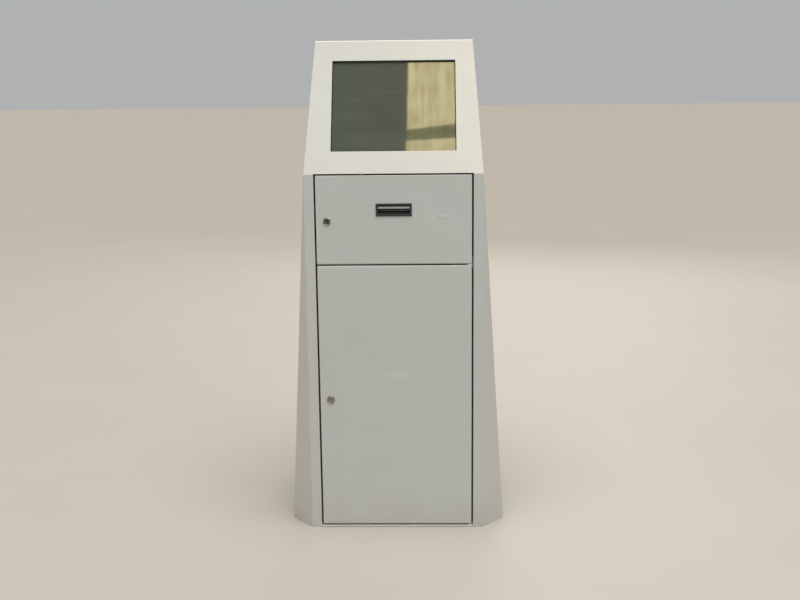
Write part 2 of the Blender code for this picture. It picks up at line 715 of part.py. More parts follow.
def make_lock(door, door_pivot):
    """Housing and nut ride on the door; the core and the cam turn in it."""
    height = LOCK_HEIGHTS[door]
    turning = pivot_empty(door + "_lock_pivot", (LOCK_X, FRONT_Y, height), door_pivot)
    finish(door + "_lock_housing", lock_housing(height), CHROME, door_pivot)
    finish(door + "_lock_nut", lock_nut(height), ZINC, door_pivot)
    finish(door + "_lock_core", lock_core(height), CHROME, turning)
    finish(door + "_lock_cam", lock_cam(height), ZINC, turning)


def make_doors():
    upper_pivot = pivot_empty("upper_door_pivot", (PIVOT_X, PIVOT_Y, sum(UPPER_DOOR) / 2))
    lower_pivot = pivot_empty("lower_door_pivot", (PIVOT_X, PIVOT_Y, sum(LOWER_DOOR) / 2))
    finish("upper_door", upper_door(), PAINT, upper_pivot)
    finish("lower_door", lower_door(), PAINT, lower_pivot)
    finish("ticket_bezel", ticket_bezel(), BLACK_PLASTIC, upper_pivot)
    finish("tear_bar", tear_bar(), BRIGHT_BAR, upper_pivot)
    make_lock("upper", upper_pivot)
    make_lock("lower", lower_pivot)


# ---------------------------------------------------------------- screen and monitor
def screen_gasket():
    """Black ring between the head panel and the glass, seen round the recess."""
    low, high = SCREEN_UP
    outer_half = SCREEN_HALF + GASKET_BORDER
    outer = slope_box((-outer_half, outer_half), (low - GASKET_BORDER, high + GASKET_BORDER), GASKET_DEPTHS)
    inner_half = SCREEN_HALF + TOUCH
    inner = slope_box((-inner_half, inner_half), (low - TOUCH, high + TOUCH), (0, CLEAR))
    return subtract(outer, inner)


def touch_glass():
    half = SCREEN_HALF + GLASS_BORDER
    low, high = SCREEN_UP
    return slope_box((-half, half), (low - GLASS_BORDER, high + GLASS_BORDER), GLASS_DEPTHS)


def lcd_size():
    across, up = LCD_BORDER
    low, high = SCREEN_UP
    return SCREEN_HALF + across, (low - up, high + up)


def lcd_panel():
    half, up_range = lcd_size()
    return slope_box((-half, half), up_range, LCD_DEPTHS)


def monitor_cover():
    """Sheet box round the panel, with vent slots in its back."""
    half, (low, high) = lcd_size()
    inner_half = half + TOUCH
    outer_half = inner_half + SHEET
    front_depth = LCD_DEPTHS[0]
    outer_up = (low - TOUCH - SHEET, high + TOUCH + SHEET)
    outer = slope_box((-outer_half, outer_half), outer_up, (front_depth, MONITOR_DEPTH))
    inner_depths = (front_depth - CLEAR, MONITOR_DEPTH - SHEET)
    inner = slope_box((-inner_half, inner_half), (low - TOUCH, high + TOUCH), inner_depths)
    cover = subtract(outer, inner)
    depths = (MONITOR_DEPTH - CLEAR, MONITOR_DEPTH + CLEAR)
    for row in range(MONITOR_VENT_ROWS):
        start = high - MONITOR_VENT_START - row * VENT_SPACING
        up_range = (start, start + VENT_SLOT_HEIGHT)
        cover = subtract(cover, slope_box((-inner_half / 2, inner_half / 2), up_range, depths))
    return cover


def monitor_bracket(sign):
    """Angle that holds one side of the monitor against the head panel."""
    near, far = BRACKET_X
    up_range = (SCREEN_UP[0] - CLEAR, SCREEN_UP[1] + CLEAR)
    flange_x = sorted((sign * near, sign * far))
    web_x = sorted((sign * near, sign * (near + SHEET)))
    flange = slope_box(flange_x, up_range, (COVERED, COVERED + SHEET))
    web = slope_box(web_x, up_range, (COVERED + SHEET / 2, BRACKET_WEB_DEPTH))
    return unite(flange, web)


# ---------------------------------------------------------------- ticket printer
def printer_chassis():
    """Two side plates, a floor and a low front wall folded from one sheet."""
    near, far = PRINTER_BEHIND
    outline = (
        (behind(near), PRINTER_BASE),
        (behind(far), PRINTER_BASE),
        (behind(far), ROLL_SIDE_TOP),
        (behind(COVER_HINGE_AT[0] + 2 * CLEAR), ROLL_SIDE_TOP),
        (behind(COVER_HINGE_AT[0] + CLEAR), PRINTER_TOP),
        (behind(near), PRINTER_TOP),
    )
    inner_half = PRINTER_HALF - SHEET
    body = prism(outline, "X", -PRINTER_HALF, PRINTER_HALF)
    inner_x = (-inner_half, inner_half)
    inside = box(inner_x, (behind(near + SHEET), REAR_Y), (PRINTER_BASE + SHEET, FOLD_HEIGHT))
    front = box(inner_x, (FRONT_Y, behind(near + CLEAR)), (PRINTER_FRONT_TOP, FOLD_HEIGHT))
    holes = (
        (PLATEN_AT, AXLE_RADIUS),
        (COVER_HINGE_AT, COVER_PIN_RADIUS),
        (ROLL_AT, ROLL_HALF / 5),
    )
    body = subtract(body, inside, front)
    for (distance, height), radius in holes:
        span = (-PRINTER_HALF - CLEAR, PRINTER_HALF + CLEAR)
        body = subtract(body, rod(radius + TOUCH, "X", (behind(distance), height), *span, SMALL_SIDES))
    distance, height = pinion_place()
    shaft_hole = rod(AXLE_RADIUS, "X", (behind(distance), height), -PRINTER_HALF - CLEAR, 0, SMALL_SIDES)
    return subtract(body, shaft_hole)


def pinion_place():
    """Centre of the motor pinion, one gear distance from the platen roller's axis."""
    reach = GEAR_MODULE * (PLATEN_TEETH + PINION_TEETH) / 2
    distance, height = PLATEN_AT
    return distance + reach * math.cos(PINION_ANGLE), height + reach * math.sin(PINION_ANGLE)


def printer_cover():
    """Lid over the platen, with ears at its rear for the hinge pin."""
    half = PRINTER_HALF - SHEET - TOUCH
    lid_low = PRINTER_TOP + TOUCH
    hinge_y, hinge_z = COVER_HINGE_AT
    lid = box((-half, half), (behind(COVER_FRONT), behind(hinge_y + CLEAR)), (lid_low, lid_low + SHEET))
    ear_y = (behind(hinge_y - COVER_EAR_REACH), behind(hinge_y + COVER_EAR_REACH))
    ears = box((-half, half), ear_y, (hinge_z - COVER_EAR_REACH, lid_low + SHEET / 2))
    between = half - SHEET
    gap_y = (ear_y[0] - CLEAR, ear_y[1] + CLEAR)
    gap = box((-between, between), gap_y, (hinge_z - CLEAR, lid_low - TOUCH))
    hinge = (behind(hinge_y), hinge_z)
    hole = rod(COVER_PIN_RADIUS + TOUCH, "X", hinge, -half - CLEAR, half + CLEAR, SMALL_SIDES)
    return subtract(unite(lid, subtract(ears, gap)), hole)


def print_head():
    """Thermal head under the lid, just above the platen roller."""
    low = PLATEN_AT[1] + PLATEN_RADIUS + HEAD_BLOCK_GAP
    middle = behind(PLATEN_AT[0])
    half, depth = HEAD_BLOCK_HALF
    chamfer = HEAD_BLOCK_CHAMFER
    outline = (
        (middle - depth + chamfer, low),
        (middle + depth - chamfer, low),
        (middle + depth, low + chamfer),
        (middle + depth, PRINTER_TOP),
        (middle - depth, PRINTER_TOP),
        (middle - depth, low + chamfer),
    )
    return prism(outline, "X", -half, half)


def cutter_unit():
    """Block with the paper slot, between the side plates at the printer's mouth."""
    half = PRINTER_HALF - SHEET - TOUCH
    start = PRINTER_BEHIND[0] + TOUCH
    heights = (PRINTER_FRONT_TOP + 2 * SHEET, PRINTER_TOP)
    block = box((-half, half), (behind(start), behind(start + CUTTER_DEPTH)), heights)
    slot_half = PAPER_SLOT[0] + TOUCH
    slot = box((-slot_half, slot_half), (FRONT_Y, REAR_Y), (PAPER_SLOT[1] + TOUCH, PAPER_SLOT[2]))
    return subtract(block, slot)


def platen_roller():
    """Rubber roller on a steel axle that reaches through both side plates."""
    left = GEAR_FACES[0]
    right = PRINTER_HALF + SHEET
    profile = (
        (0, left),
        (AXLE_RADIUS, left),
        (AXLE_RADIUS, -PLATEN_HALF),
        (PLATEN_RADIUS, -PLATEN_HALF),
        (PLATEN_RADIUS, PLATEN_HALF),
        (AXLE_RADIUS, PLATEN_HALF),
        (AXLE_RADIUS, right),
        (0, right),
    )
    return turned(profile, "X", (behind(PLATEN_AT[0]), PLATEN_AT[1]), SMALL_SIDES)


def gear_outline(teeth, centre, first_angle):
    """Involute spur gear: a tooth is centred on first_angle. Returns (Y, Z) points."""
    pressure = math.radians(20)
    pitch_radius = GEAR_MODULE * teeth / 2
    base_radius = pitch_radius * math.cos(pressure)
    tip_radius = pitch_radius + 0.80 * GEAR_MODULE
    root_radius = pitch_radius - 1.15 * GEAR_MODULE
    backlash = 0.00012
    half_tooth = math.pi / (2 * teeth) - backlash / (2 * pitch_radius)

    def involute(radius):
        angle = math.acos(min(1.0, base_radius / radius))
        return math.tan(angle) - angle

    start_radius = max(base_radius, root_radius)
    flank_steps = 4
    flank = []
    for step in range(flank_steps + 1):
        radius = start_radius + (tip_radius - start_radius) * step / flank_steps
        flank.append((radius, half_tooth + involute(pitch_radius) - involute(radius)))
    if root_radius < start_radius:
        flank.insert(0, (root_radius, flank[0][1]))
    outline = []
    for tooth in range(teeth):
        middle = first_angle + 2 * math.pi * tooth / teeth
        rising = [(radius, middle - offset) for radius, offset in flank]
        falling = [(radius, middle + offset) for radius, offset in reversed(flank)]
        for radius, angle in rising + falling:
            outline.append((centre[0] + radius * math.cos(angle), centre[1] + radius * math.sin(angle)))
    return outline


def platen_gear():
    """Spur gear outside the left side plate, on the platen's axle."""
    centre = (behind(PLATEN_AT[0]), PLATEN_AT[1])
    gear = prism(gear_outline(PLATEN_TEETH, centre, PINION_ANGLE), "X", *GEAR_FACES)
    bore = rod(AXLE_RADIUS + TOUCH, "X", centre, GEAR_FACES[0] - CLEAR, 0, SMALL_SIDES)
    return subtract(gear, bore)


def motor_pinion():
    """Small gear in mesh with the platen gear, with its shaft through the side plate."""
    distance, height = pinion_place()
    centre = (behind(distance), height)
    towards_platen = PINION_ANGLE + math.pi + math.pi / PINION_TEETH
    gear = prism(gear_outline(PINION_TEETH, centre, towards_platen), "X", *GEAR_FACES)
    shaft_ends = (GEAR_FACES[1] - CLEAR / 10, -PRINTER_HALF + SHEET)
    shaft = rod(MOTOR_SHAFT_RADIUS, "X", centre, *shaft_ends, SMALL_SIDES)
    return unite(gear, shaft)


def feed_motor():
    """Small stepper motor on the inside of the left side plate."""
    distance, height = pinion_place()
    start = -PRINTER_HALF + SHEET + TOUCH
    return rod(MOTOR_RADIUS, "X", (behind(distance), height), start, start + MOTOR_LENGTH)


def ring_roll(inner, outer, half):
    profile = ((inner, -half), (outer, -half), (outer, half), (inner, half))
    return turned(profile, "X", (behind(ROLL_AT[0]), ROLL_AT[1]), 2 * SMALL_SIDES)


def roll_spindle():
    """Rod through both side plates with a wider middle that carries the core."""
    end = PRINTER_HALF + 2 * SHEET
    neck = ROLL_HALF / 5
    hub = CORE_RADII[0] - 2 * TOUCH
    profile = (
        (0, -end),
        (neck, -end),
        (neck, -ROLL_HALF),
        (hub, -ROLL_HALF),
        (hub, ROLL_HALF),
        (neck, ROLL_HALF),
        (neck, end),
        (0, end),
    )
    return turned(profile, "X", (behind(ROLL_AT[0]), ROLL_AT[1]), 2 * SMALL_SIDES)


def make_printer():
    finish("printer_chassis", printer_chassis(), ZINC)
    finish("cutter_unit", cutter_unit(), ZINC)
    finish("feed_motor", feed_motor(), ZINC)
    finish("roll_spindle", roll_spindle(), GREY_PLASTIC)
    hinge_y, hinge_z = COVER_HINGE_AT
    pin = rod(COVER_PIN_RADIUS, "X", (behind(hinge_y), hinge_z), -PRINTER_HALF, PRINTER_HALF, SMALL_SIDES)
    finish("cover_hinge_pin", pin, ZINC)
    cover_pivot = pivot_empty("printer_cover_pivot", (0, behind(hinge_y), hinge_z))
    finish("printer_cover", printer_cover(), GREY_PLASTIC, cover_pivot)
    finish("print_head", print_head(), BLACK_PLASTIC, cover_pivot)
    platen_pivot = pivot_empty("platen_pivot", (0, behind(PLATEN_AT[0]), PLATEN_AT[1]))
    finish("platen_roller", platen_roller(), BLACK_RUBBER, platen_pivot)
    finish("platen_gear", platen_gear(), WHITE_PLASTIC, platen_pivot)
    distance, height = pinion_place()
    pinion_pivot = pivot_empty("motor_pinion_pivot", (0, behind(distance), height))
    finish("motor_pinion", motor_pinion(), BRASS, pinion_pivot)
    roll_pivot = pivot_empty("paper_roll_pivot", (0, behind(ROLL_AT[0]), ROLL_AT[1]))
    finish("paper_roll", ring_roll(CORE_RADII[1] + TOUCH, ROLL_RADIUS, ROLL_HALF), PAPER, roll_pivot)
    finish("paper_core", ring_roll(CORE_RADII[0], CORE_RADII[1], ROLL_HALF), CARDBOARD, roll_pivot)


# ---------------------------------------------------------------- computer and power supply
def open_box(x_range, y_range, z_range, wall, open_towards_front):
    """Thin-walled box that is open at its front or at its rear."""
    inner_x = (x_range[0] + wall, x_range[1] - wall)
    inner_z = (z_range[0] + wall, z_range[1] - wall)
    if open_towards_front:
        inner_y = (y_range[0] - CLEAR, y_range[1] - wall)
    else:
        inner_y = (y_range[0] + wall, y_range[1] + CLEAR)
    return subtract(box(x_range, y_range, z_range), box(inner_x, inner_y, inner_z))


def make_computer():
    near, far = COMPUTER_BEHIND
    split = near + FRONT_COVER_DEPTH
    case_y = (behind(split + TOUCH), behind(far))
    case = open_box(COMPUTER_X, case_y, COMPUTER_HEIGHTS, COMPUTER_SHEET, True)
    finish("computer_case", case, ZINC)
    cover = open_box(COMPUTER_X, (behind(near), behind(split)), COMPUTER_HEIGHTS, SHEET, False)
    hole = rod(BUTTON_RADIUS + TOUCH, "Y", BUTTON_AT, FRONT_Y, behind(split))
    finish("computer_front_cover", subtract(cover, hole), BLACK_PLASTIC)
    face = behind(near - BUTTON_PROUD)
    inner_end = behind(near + SHEET + BUTTON_INSIDE)
    rounding = BUTTON_RADIUS / 9
    button_x, button_z = BUTTON_AT
    button_pivot = pivot_empty("power_button_pivot", (button_x, face, button_z))
    button = turned(
        (
            (0, face),
            (BUTTON_RADIUS - rounding, face),
            (BUTTON_RADIUS, face + rounding),
            (BUTTON_RADIUS, inner_end),
            (0, inner_end),
        ),
        "Y",
        BUTTON_AT,
    )
    finish("computer_power_button", button, GREY_PLASTIC, button_pivot)


def power_supply():
    """Closed supply on the floor, drawn as one block with a terminal ledge at its front."""
    low = SHEET + TOUCH
    body = box(SUPPLY_X, (behind(SUPPLY_BEHIND[0]), behind(SUPPLY_BEHIND[1])), (low, low + SUPPLY_HEIGHT))
    ledge_y = (FRONT_Y, behind(SUPPLY_BEHIND[0] + TERMINAL_LEDGE))
    ledge_x = (SUPPLY_X[0] + SHEET, SUPPLY_X[1] - SHEET)
    return subtract(body, box(ledge_x, ledge_y, (low + SUPPLY_HEIGHT / 3, 1)))


# ---------------------------------------------------------------- fan and mains inlet
def fan_frame():
    """Square fan housing with a motor plate on four struts at its inner side."""
    x, z = FAN_AT
    half = FAN_SIZE / 2
    outer_y = REAR_Y - COVERED
    inner_y = outer_y - FAN_DEPTH
    body = box((x - half, x + half), (inner_y, outer_y), (z - half, z + half))
    body = subtract(body, rod(FAN_OPENING_RADIUS, "Y", FAN_AT, inner_y - CLEAR, outer_y + CLEAR))
    plate_y = (inner_y, inner_y + FAN_PLATE_THICKNESS)
    hub = rod(FAN_HUB_RADIUS + SHEET / 2, "Y", FAN_AT, *plate_y)
    half_strut = FAN_STRUT_HALF
    reach = FAN_OPENING_RADIUS + SHEET / 2
    across = box((x - reach, x + reach), plate_y, (z - half_strut, z + half_strut))
    upright = box((x - half_strut, x + half_strut), plate_y, (z - reach, z + reach))
    return unite(body, hub, across, upright)


def fan_rotor():
    """Hub with seven twisted blades."""
    x, z = FAN_AT
    outer_y = REAR_Y - COVERED - SHEET
    inner_y = REAR_Y - COVERED - FAN_DEPTH + 1.5 * FAN_PLATE_THICKNESS
    body = rod(FAN_HUB_RADIUS, "Y", FAN_AT, inner_y, outer_y)
    margin = SHEET / 2
    ends = ((inner_y + margin, FAN_BLADE_TWIST), (outer_y - margin, -FAN_BLADE_TWIST))
    for blade in range(FAN_BLADES):
        middle = 2 * math.pi * blade / FAN_BLADES
        piece = bmesh.new()
        corners = []
        for along, twist in ends:
            for radius in FAN_BLADE_RADII:
                for side in (-FAN_BLADE_HALF_THICKNESS, FAN_BLADE_HALF_THICKNESS):
                    angle = middle + twist + side * FAN_BLADE_RADII[0] / radius
                    spot = (x + radius * math.cos(angle), along, z + radius * math.sin(angle))
                    corners.append(piece.verts.new(spot))
        for face in ((0, 1, 3, 2), (4, 6, 7, 5), (0, 4, 5, 1), (2, 3, 7, 6), (0, 2, 6, 4), (1, 5, 7, 3)):
            piece.faces.new([corners[index] for index in face])
        body = unite(body, piece)
    return body


def fan_guard():
    """Finger guard outside the back panel: rings on two crossing bars."""
    x, z = FAN_AT
    near = REAR_Y + TOUCH
    far = REAR_Y + PROUD
    bar = FAN_SIZE / 2 - SHEET / 2
    half_bar = GUARD_BAR_HALF
    guard = unite(
        box((x - bar, x + bar), (near, far), (z - half_bar, z + half_bar)),
        box((x - half_bar, x + half_bar), (near, far), (z - bar, z + bar)),
    )
    for radius in GUARD_RING_RADII:
        inner = radius - half_bar
        outer = radius + half_bar
        ring = ((inner, near), (outer, near), (outer, far), (inner, far))
        guard = unite(guard, turned(ring, "Y", FAN_AT, SMALL_SIDES))
    return guard


def mains_inlet():
    """Appliance inlet with three pins below and a recess for the rocker switch above."""
    x, z = INLET_AT
    flange_x, flange_z = INLET_FLANGE_HALF
    body_x, body_z = INLET_BODY_HALF
    face = REAR_Y + PROUD - TOUCH
    flange = box((x - flange_x, x + flange_x), (REAR_Y + TOUCH, face), (z - flange_z, z + flange_z))
    body_y = (REAR_Y - INLET_DEPTH, REAR_Y + PROUD / 2)
    body = box((x - body_x, x + body_x), body_y, (z - body_z, z + body_z))
    socket_x, socket_z = SOCKET_HALF
    socket_middle = z - SOCKET_DROP
    floor = REAR_Y - SOCKET_DEPTH
    socket_heights = (socket_middle - socket_z, socket_middle + socket_z)
    socket = box((x - socket_x, x + socket_x), (floor, face + CLEAR), socket_heights)
    rocker_x, rocker_z = ROCKER_HALF
    gap = 2 * TOUCH
    rocker_middle = z + ROCKER_RISE
    recess_x = (x - rocker_x - gap, x + rocker_x + gap)
    recess_z = (rocker_middle - rocker_z - gap, rocker_middle + rocker_z + gap)
    recess = box(recess_x, (REAR_Y - CLEAR, face + CLEAR), recess_z)
    inlet = subtract(unite(flange, body), socket, recess)
    half_width, half_height = INLET_PIN_HALF
    pin_y = (floor - SHEET / 2, REAR_Y - PROUD)
    for aside, rise in ((-INLET_PIN_SPACING, -SHEET), (0, SHEET), (INLET_PIN_SPACING, -SHEET)):
        middle = socket_middle + rise
        pin_x = (x + aside - half_width, x + aside + half_width)
        pin = box(pin_x, pin_y, (middle - half_height, middle + half_height))
        inlet = unite(inlet, pin)
    return inlet


def inlet_rocker(middle):
    """Rocker tilted to its off side: two flats that meet in a shallow valley."""
    x = INLET_AT[0]
    half_x, half_z = ROCKER_HALF
    tilt = -ROCKER_TILT
    reach = half_z - TOUCH
    local = (
        (0.0, ROCKER_VALLEY),
        (reach, ROCKER_LIFT),
        (reach - ROCKER_TAPER, -ROCKER_DEPTH),
        (-reach + ROCKER_TAPER, -ROCKER_DEPTH),
        (-reach, ROCKER_LIFT),
    )
    outline = []
    for along, out in local:
        turned_out = out * math.cos(tilt) - along * math.sin(tilt)
        turned_along = out * math.sin(tilt) + along * math.cos(tilt)
        outline.append((REAR_Y + turned_out, middle + turned_along))
    return prism(outline, "X", x - half_x, x + half_x)


def make_rear_fittings():
    finish("fan_frame", fan_frame(), BLACK_PLASTIC)
    finish("fan_guard", fan_guard(), ZINC)
    fan_pivot = pivot_empty("fan_pivot", (FAN_AT[0], REAR_Y, FAN_AT[1]))
    finish("fan_rotor", fan_rotor(), BLACK_PLASTIC, fan_pivot)
    finish("mains_inlet", mains_inlet(), BLACK_PLASTIC)
    middle = INLET_AT[1] + ROCKER_RISE
    rocker_pivot = pivot_empty("inlet_rocker_pivot", (INLET_AT[0], REAR_Y, middle))
    finish("inlet_rocker", inlet_rocker(middle), BLACK_PLASTIC, rocker_pivot)


# ---------------------------------------------------------------- cables held inside
def smooth_route(points, steps):
    """Points along a Catmull-Rom curve through the given ones."""
    ends = [points[0] * 2 - points[1]] + points + [points[-1] * 2 - points[-2]]
    route = []
    for index in range(len(points) - 1):
        before, start, end, after = ends[index : index + 4]
        for step in range(steps):
            part = step / steps
            bend = start * 2
            bend += (end - before) * part
            bend += (before * 2 - start * 5 + end * 4 - after) * part**2
            bend += (start * 3 - before - end * 3 + after) * part**3
            route.append(bend / 2)
    route.append(points[-1])
    return route


def cable(name, points):
    """Round cable along a hand-chosen route, with flat closed ends."""
    curve = bpy.data.curves.new(name, "CURVE")
    curve.dimensions = "3D"
    curve.bevel_depth = CABLE_RADIUS
    curve.bevel_resolution = 2
    curve.use_fill_caps = True
    route = smooth_route([Vector(point) for point in points], CABLE_STEPS)
    spline = curve.splines.new("POLY")
    spline.points.add(len(route) - 1)
    for spot, place_at in zip(spline.points, route):
        spot.co = (*place_at, 1.0)
    curve.materials.append(material_for(name, BLACK_RUBBER))
    bpy.context.collection.objects.link(bpy.data.objects.new(name, curve))


def make_cables():
    """Monitor lead down the back to the computer, printer lead round the shelf's rear edge."""
    computer_rear = behind(COMPUTER_BEHIND[1]) + 2 * TOUCH
    monitor_x, up = MONITOR_CABLE_AT
    out = MONITOR_DEPTH + 2 * TOUCH
    start_y = FRONT_Y + up * math.sin(HEAD_TILT) + out * math.cos(HEAD_TILT)
    start_z = FOLD_HEIGHT + up * math.cos(HEAD_TILT) - out * math.sin(HEAD_TILT)
    step_y = CABLE_STRAIGHT * math.cos(HEAD_TILT)
    step_z = CABLE_STRAIGHT * math.sin(HEAD_TILT)
    cable(
        "monitor_cable",
        (
            (monitor_x, start_y, start_z),
            (monitor_x, start_y + step_y, start_z - step_z),
            (monitor_x + 0.010, 0.030, start_z - 0.080),
            (monitor_x + 0.030, 0.130, start_z - 0.180),
            (monitor_x + 0.045, 0.188, 0.880),
            (monitor_x + 0.045, 0.190, 0.760),
            (monitor_x + 0.040, 0.195, 0.500),
            (monitor_x + 0.030, 0.200, 0.330),
            (monitor_x + 0.030, 0.184, 0.280),
            (monitor_x + 0.030, computer_rear, 0.270),
        ),
    )
    printer_rear = behind(PRINTER_BEHIND[1]) + 2 * TOUCH
    printer_height = PRINTER_BASE + 3 * TOUCH
    cable(
        "printer_cable",
        (
            (0.020, printer_rear, printer_height + CABLE_RADIUS),
            (0.020, printer_rear + CABLE_STRAIGHT, printer_height + CABLE_RADIUS),
            (0.030, 0.100, printer_height + 0.012),
            (0.045, 0.150, printer_height + 0.026),
            (0.055, 0.182, printer_height + 0.010),
            (0.060, 0.192, 0.740),
            (0.065, 0.196, 0.560),
            (0.072, 0.200, 0.300),
            (0.075, 0.188, 0.220),
            (0.075, computer_rear, 0.208),
        ),
    )


# ---------------------------------------------------------------- assembly
def make_cabinet():
    finish("side_panel_left", side_panel(-1), PAINT)
    finish("side_panel_right", side_panel(1), PAINT)
    finish("head_panel", head_panel(), PAINT)
    finish("base_pan", base_pan(), PAINT)
    finish("back_panel", back_panel(), PAINT)
    finish("middle_rail", middle_rail(), PAINT)
    finish("printer_shelf", printer_shelf(), PAINT)
    finish("pivot_tab", pivot_tab(), PAINT)
    make_pivot_pins()


def make_monitor():
    finish("screen_gasket", screen_gasket(), BLACK_RUBBER)
    finish("touch_glass", touch_glass(), DARK_GLASS)
    finish("lcd_panel", lcd_panel(), BLACK_PLASTIC)
    finish("monitor_cover", monitor_cover(), ZINC)
    finish("monitor_bracket_left", monitor_bracket(-1), ZINC)
    finish("monitor_bracket_right", monitor_bracket(1), ZINC)


def main():
    clear_scene()
    make_cabinet()
    make_doors()
    make_monitor()
    make_printer()
    make_computer()
    finish("power_supply", power_supply(), ZINC)
    make_rear_fittings()
    make_cables()


main()
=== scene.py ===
"""Looks of the ticket vending machine: finished meshes, procedural materials, light and camera
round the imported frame. Metres, in the frame's axes: the front faces -Y and +Z is up."""

import json
import math
from itertools import product

import bmesh
import bpy
from mathutils import Matrix, Vector


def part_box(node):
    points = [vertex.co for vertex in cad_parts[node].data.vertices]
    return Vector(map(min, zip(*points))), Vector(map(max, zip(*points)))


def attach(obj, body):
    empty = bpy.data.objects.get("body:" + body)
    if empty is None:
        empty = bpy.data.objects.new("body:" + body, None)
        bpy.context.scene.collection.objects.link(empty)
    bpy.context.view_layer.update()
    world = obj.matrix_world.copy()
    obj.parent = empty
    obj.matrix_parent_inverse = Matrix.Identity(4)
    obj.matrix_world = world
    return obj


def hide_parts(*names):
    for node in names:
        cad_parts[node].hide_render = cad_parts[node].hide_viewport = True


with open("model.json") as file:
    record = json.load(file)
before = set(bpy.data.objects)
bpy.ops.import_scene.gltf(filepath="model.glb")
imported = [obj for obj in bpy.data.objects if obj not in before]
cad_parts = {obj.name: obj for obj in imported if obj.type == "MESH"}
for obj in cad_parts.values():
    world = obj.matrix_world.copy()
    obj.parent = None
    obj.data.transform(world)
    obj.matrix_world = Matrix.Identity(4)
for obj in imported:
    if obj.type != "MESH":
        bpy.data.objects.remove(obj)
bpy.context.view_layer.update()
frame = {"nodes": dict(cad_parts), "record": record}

NODES = frame["nodes"]
RECORD = frame["record"]
BODY_OF = {node: body for body, nodes in RECORD["behaviour"]["bodies"].items() for node in nodes}
SLOT_OF = {part["node"]: part["material_slot"] for part in RECORD["subparts"]}
JOINT_AT = {joint["name"]: Vector(joint.get("pos_m", (0, 0, 0))) for joint in RECORD["behaviour"]["joints"]}
MM = 0.001
SHEET = 2.0 * MM
LEFT = (-1, 0, 0)
RIGHT = (1, 0, 0)
FORWARD = (0, -1, 0)
REARWARD = (0, 1, 0)
UPWARD = (0, 0, 1)
GAP_MM = 0.3
GAP = GAP_MM * MM


def middle_of(node):
    low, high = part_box(node)
    return (low + high) / 2


def mm(across, along, up):
    return Vector((across, along, up)) * MM


def off(place, across, along, up):
    """A place in metres, moved by distances in millimetres."""
    return Vector(place) + mm(across, along, up)


def linked(name, data):
    item = bpy.data.objects.new(name, data)
    bpy.context.collection.objects.link(item)
    return item


# places taken from the frame
FRONT_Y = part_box("lower_door")[0].y
REAR_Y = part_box("back_panel")[1].y
DOOR_SKIN = FRONT_Y + SHEET + GAP
LOCKS = {}
for side in ("upper", "lower"):
    turn_at = JOINT_AT[side + "_lock_turn"]
    LOCKS[side] = Vector((turn_at.x, FRONT_Y, turn_at.z))
PIVOT = JOINT_AT["upper_door_hinge"]
FAN = JOINT_AT["fan_spin"]
ROLL = JOINT_AT["paper_roll_spin"]
PLATEN = JOINT_AT["platen_spin"]
GLASS_LOW, GLASS_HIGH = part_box("touch_glass")

# the head's slope, and the screen opening measured across and up it
FOLD_HEIGHT = 1.000
HEAD_TILT = math.radians(28.5)
SCREEN_HALF = 0.169
SCREEN_UP = (0.0675, 0.3385)


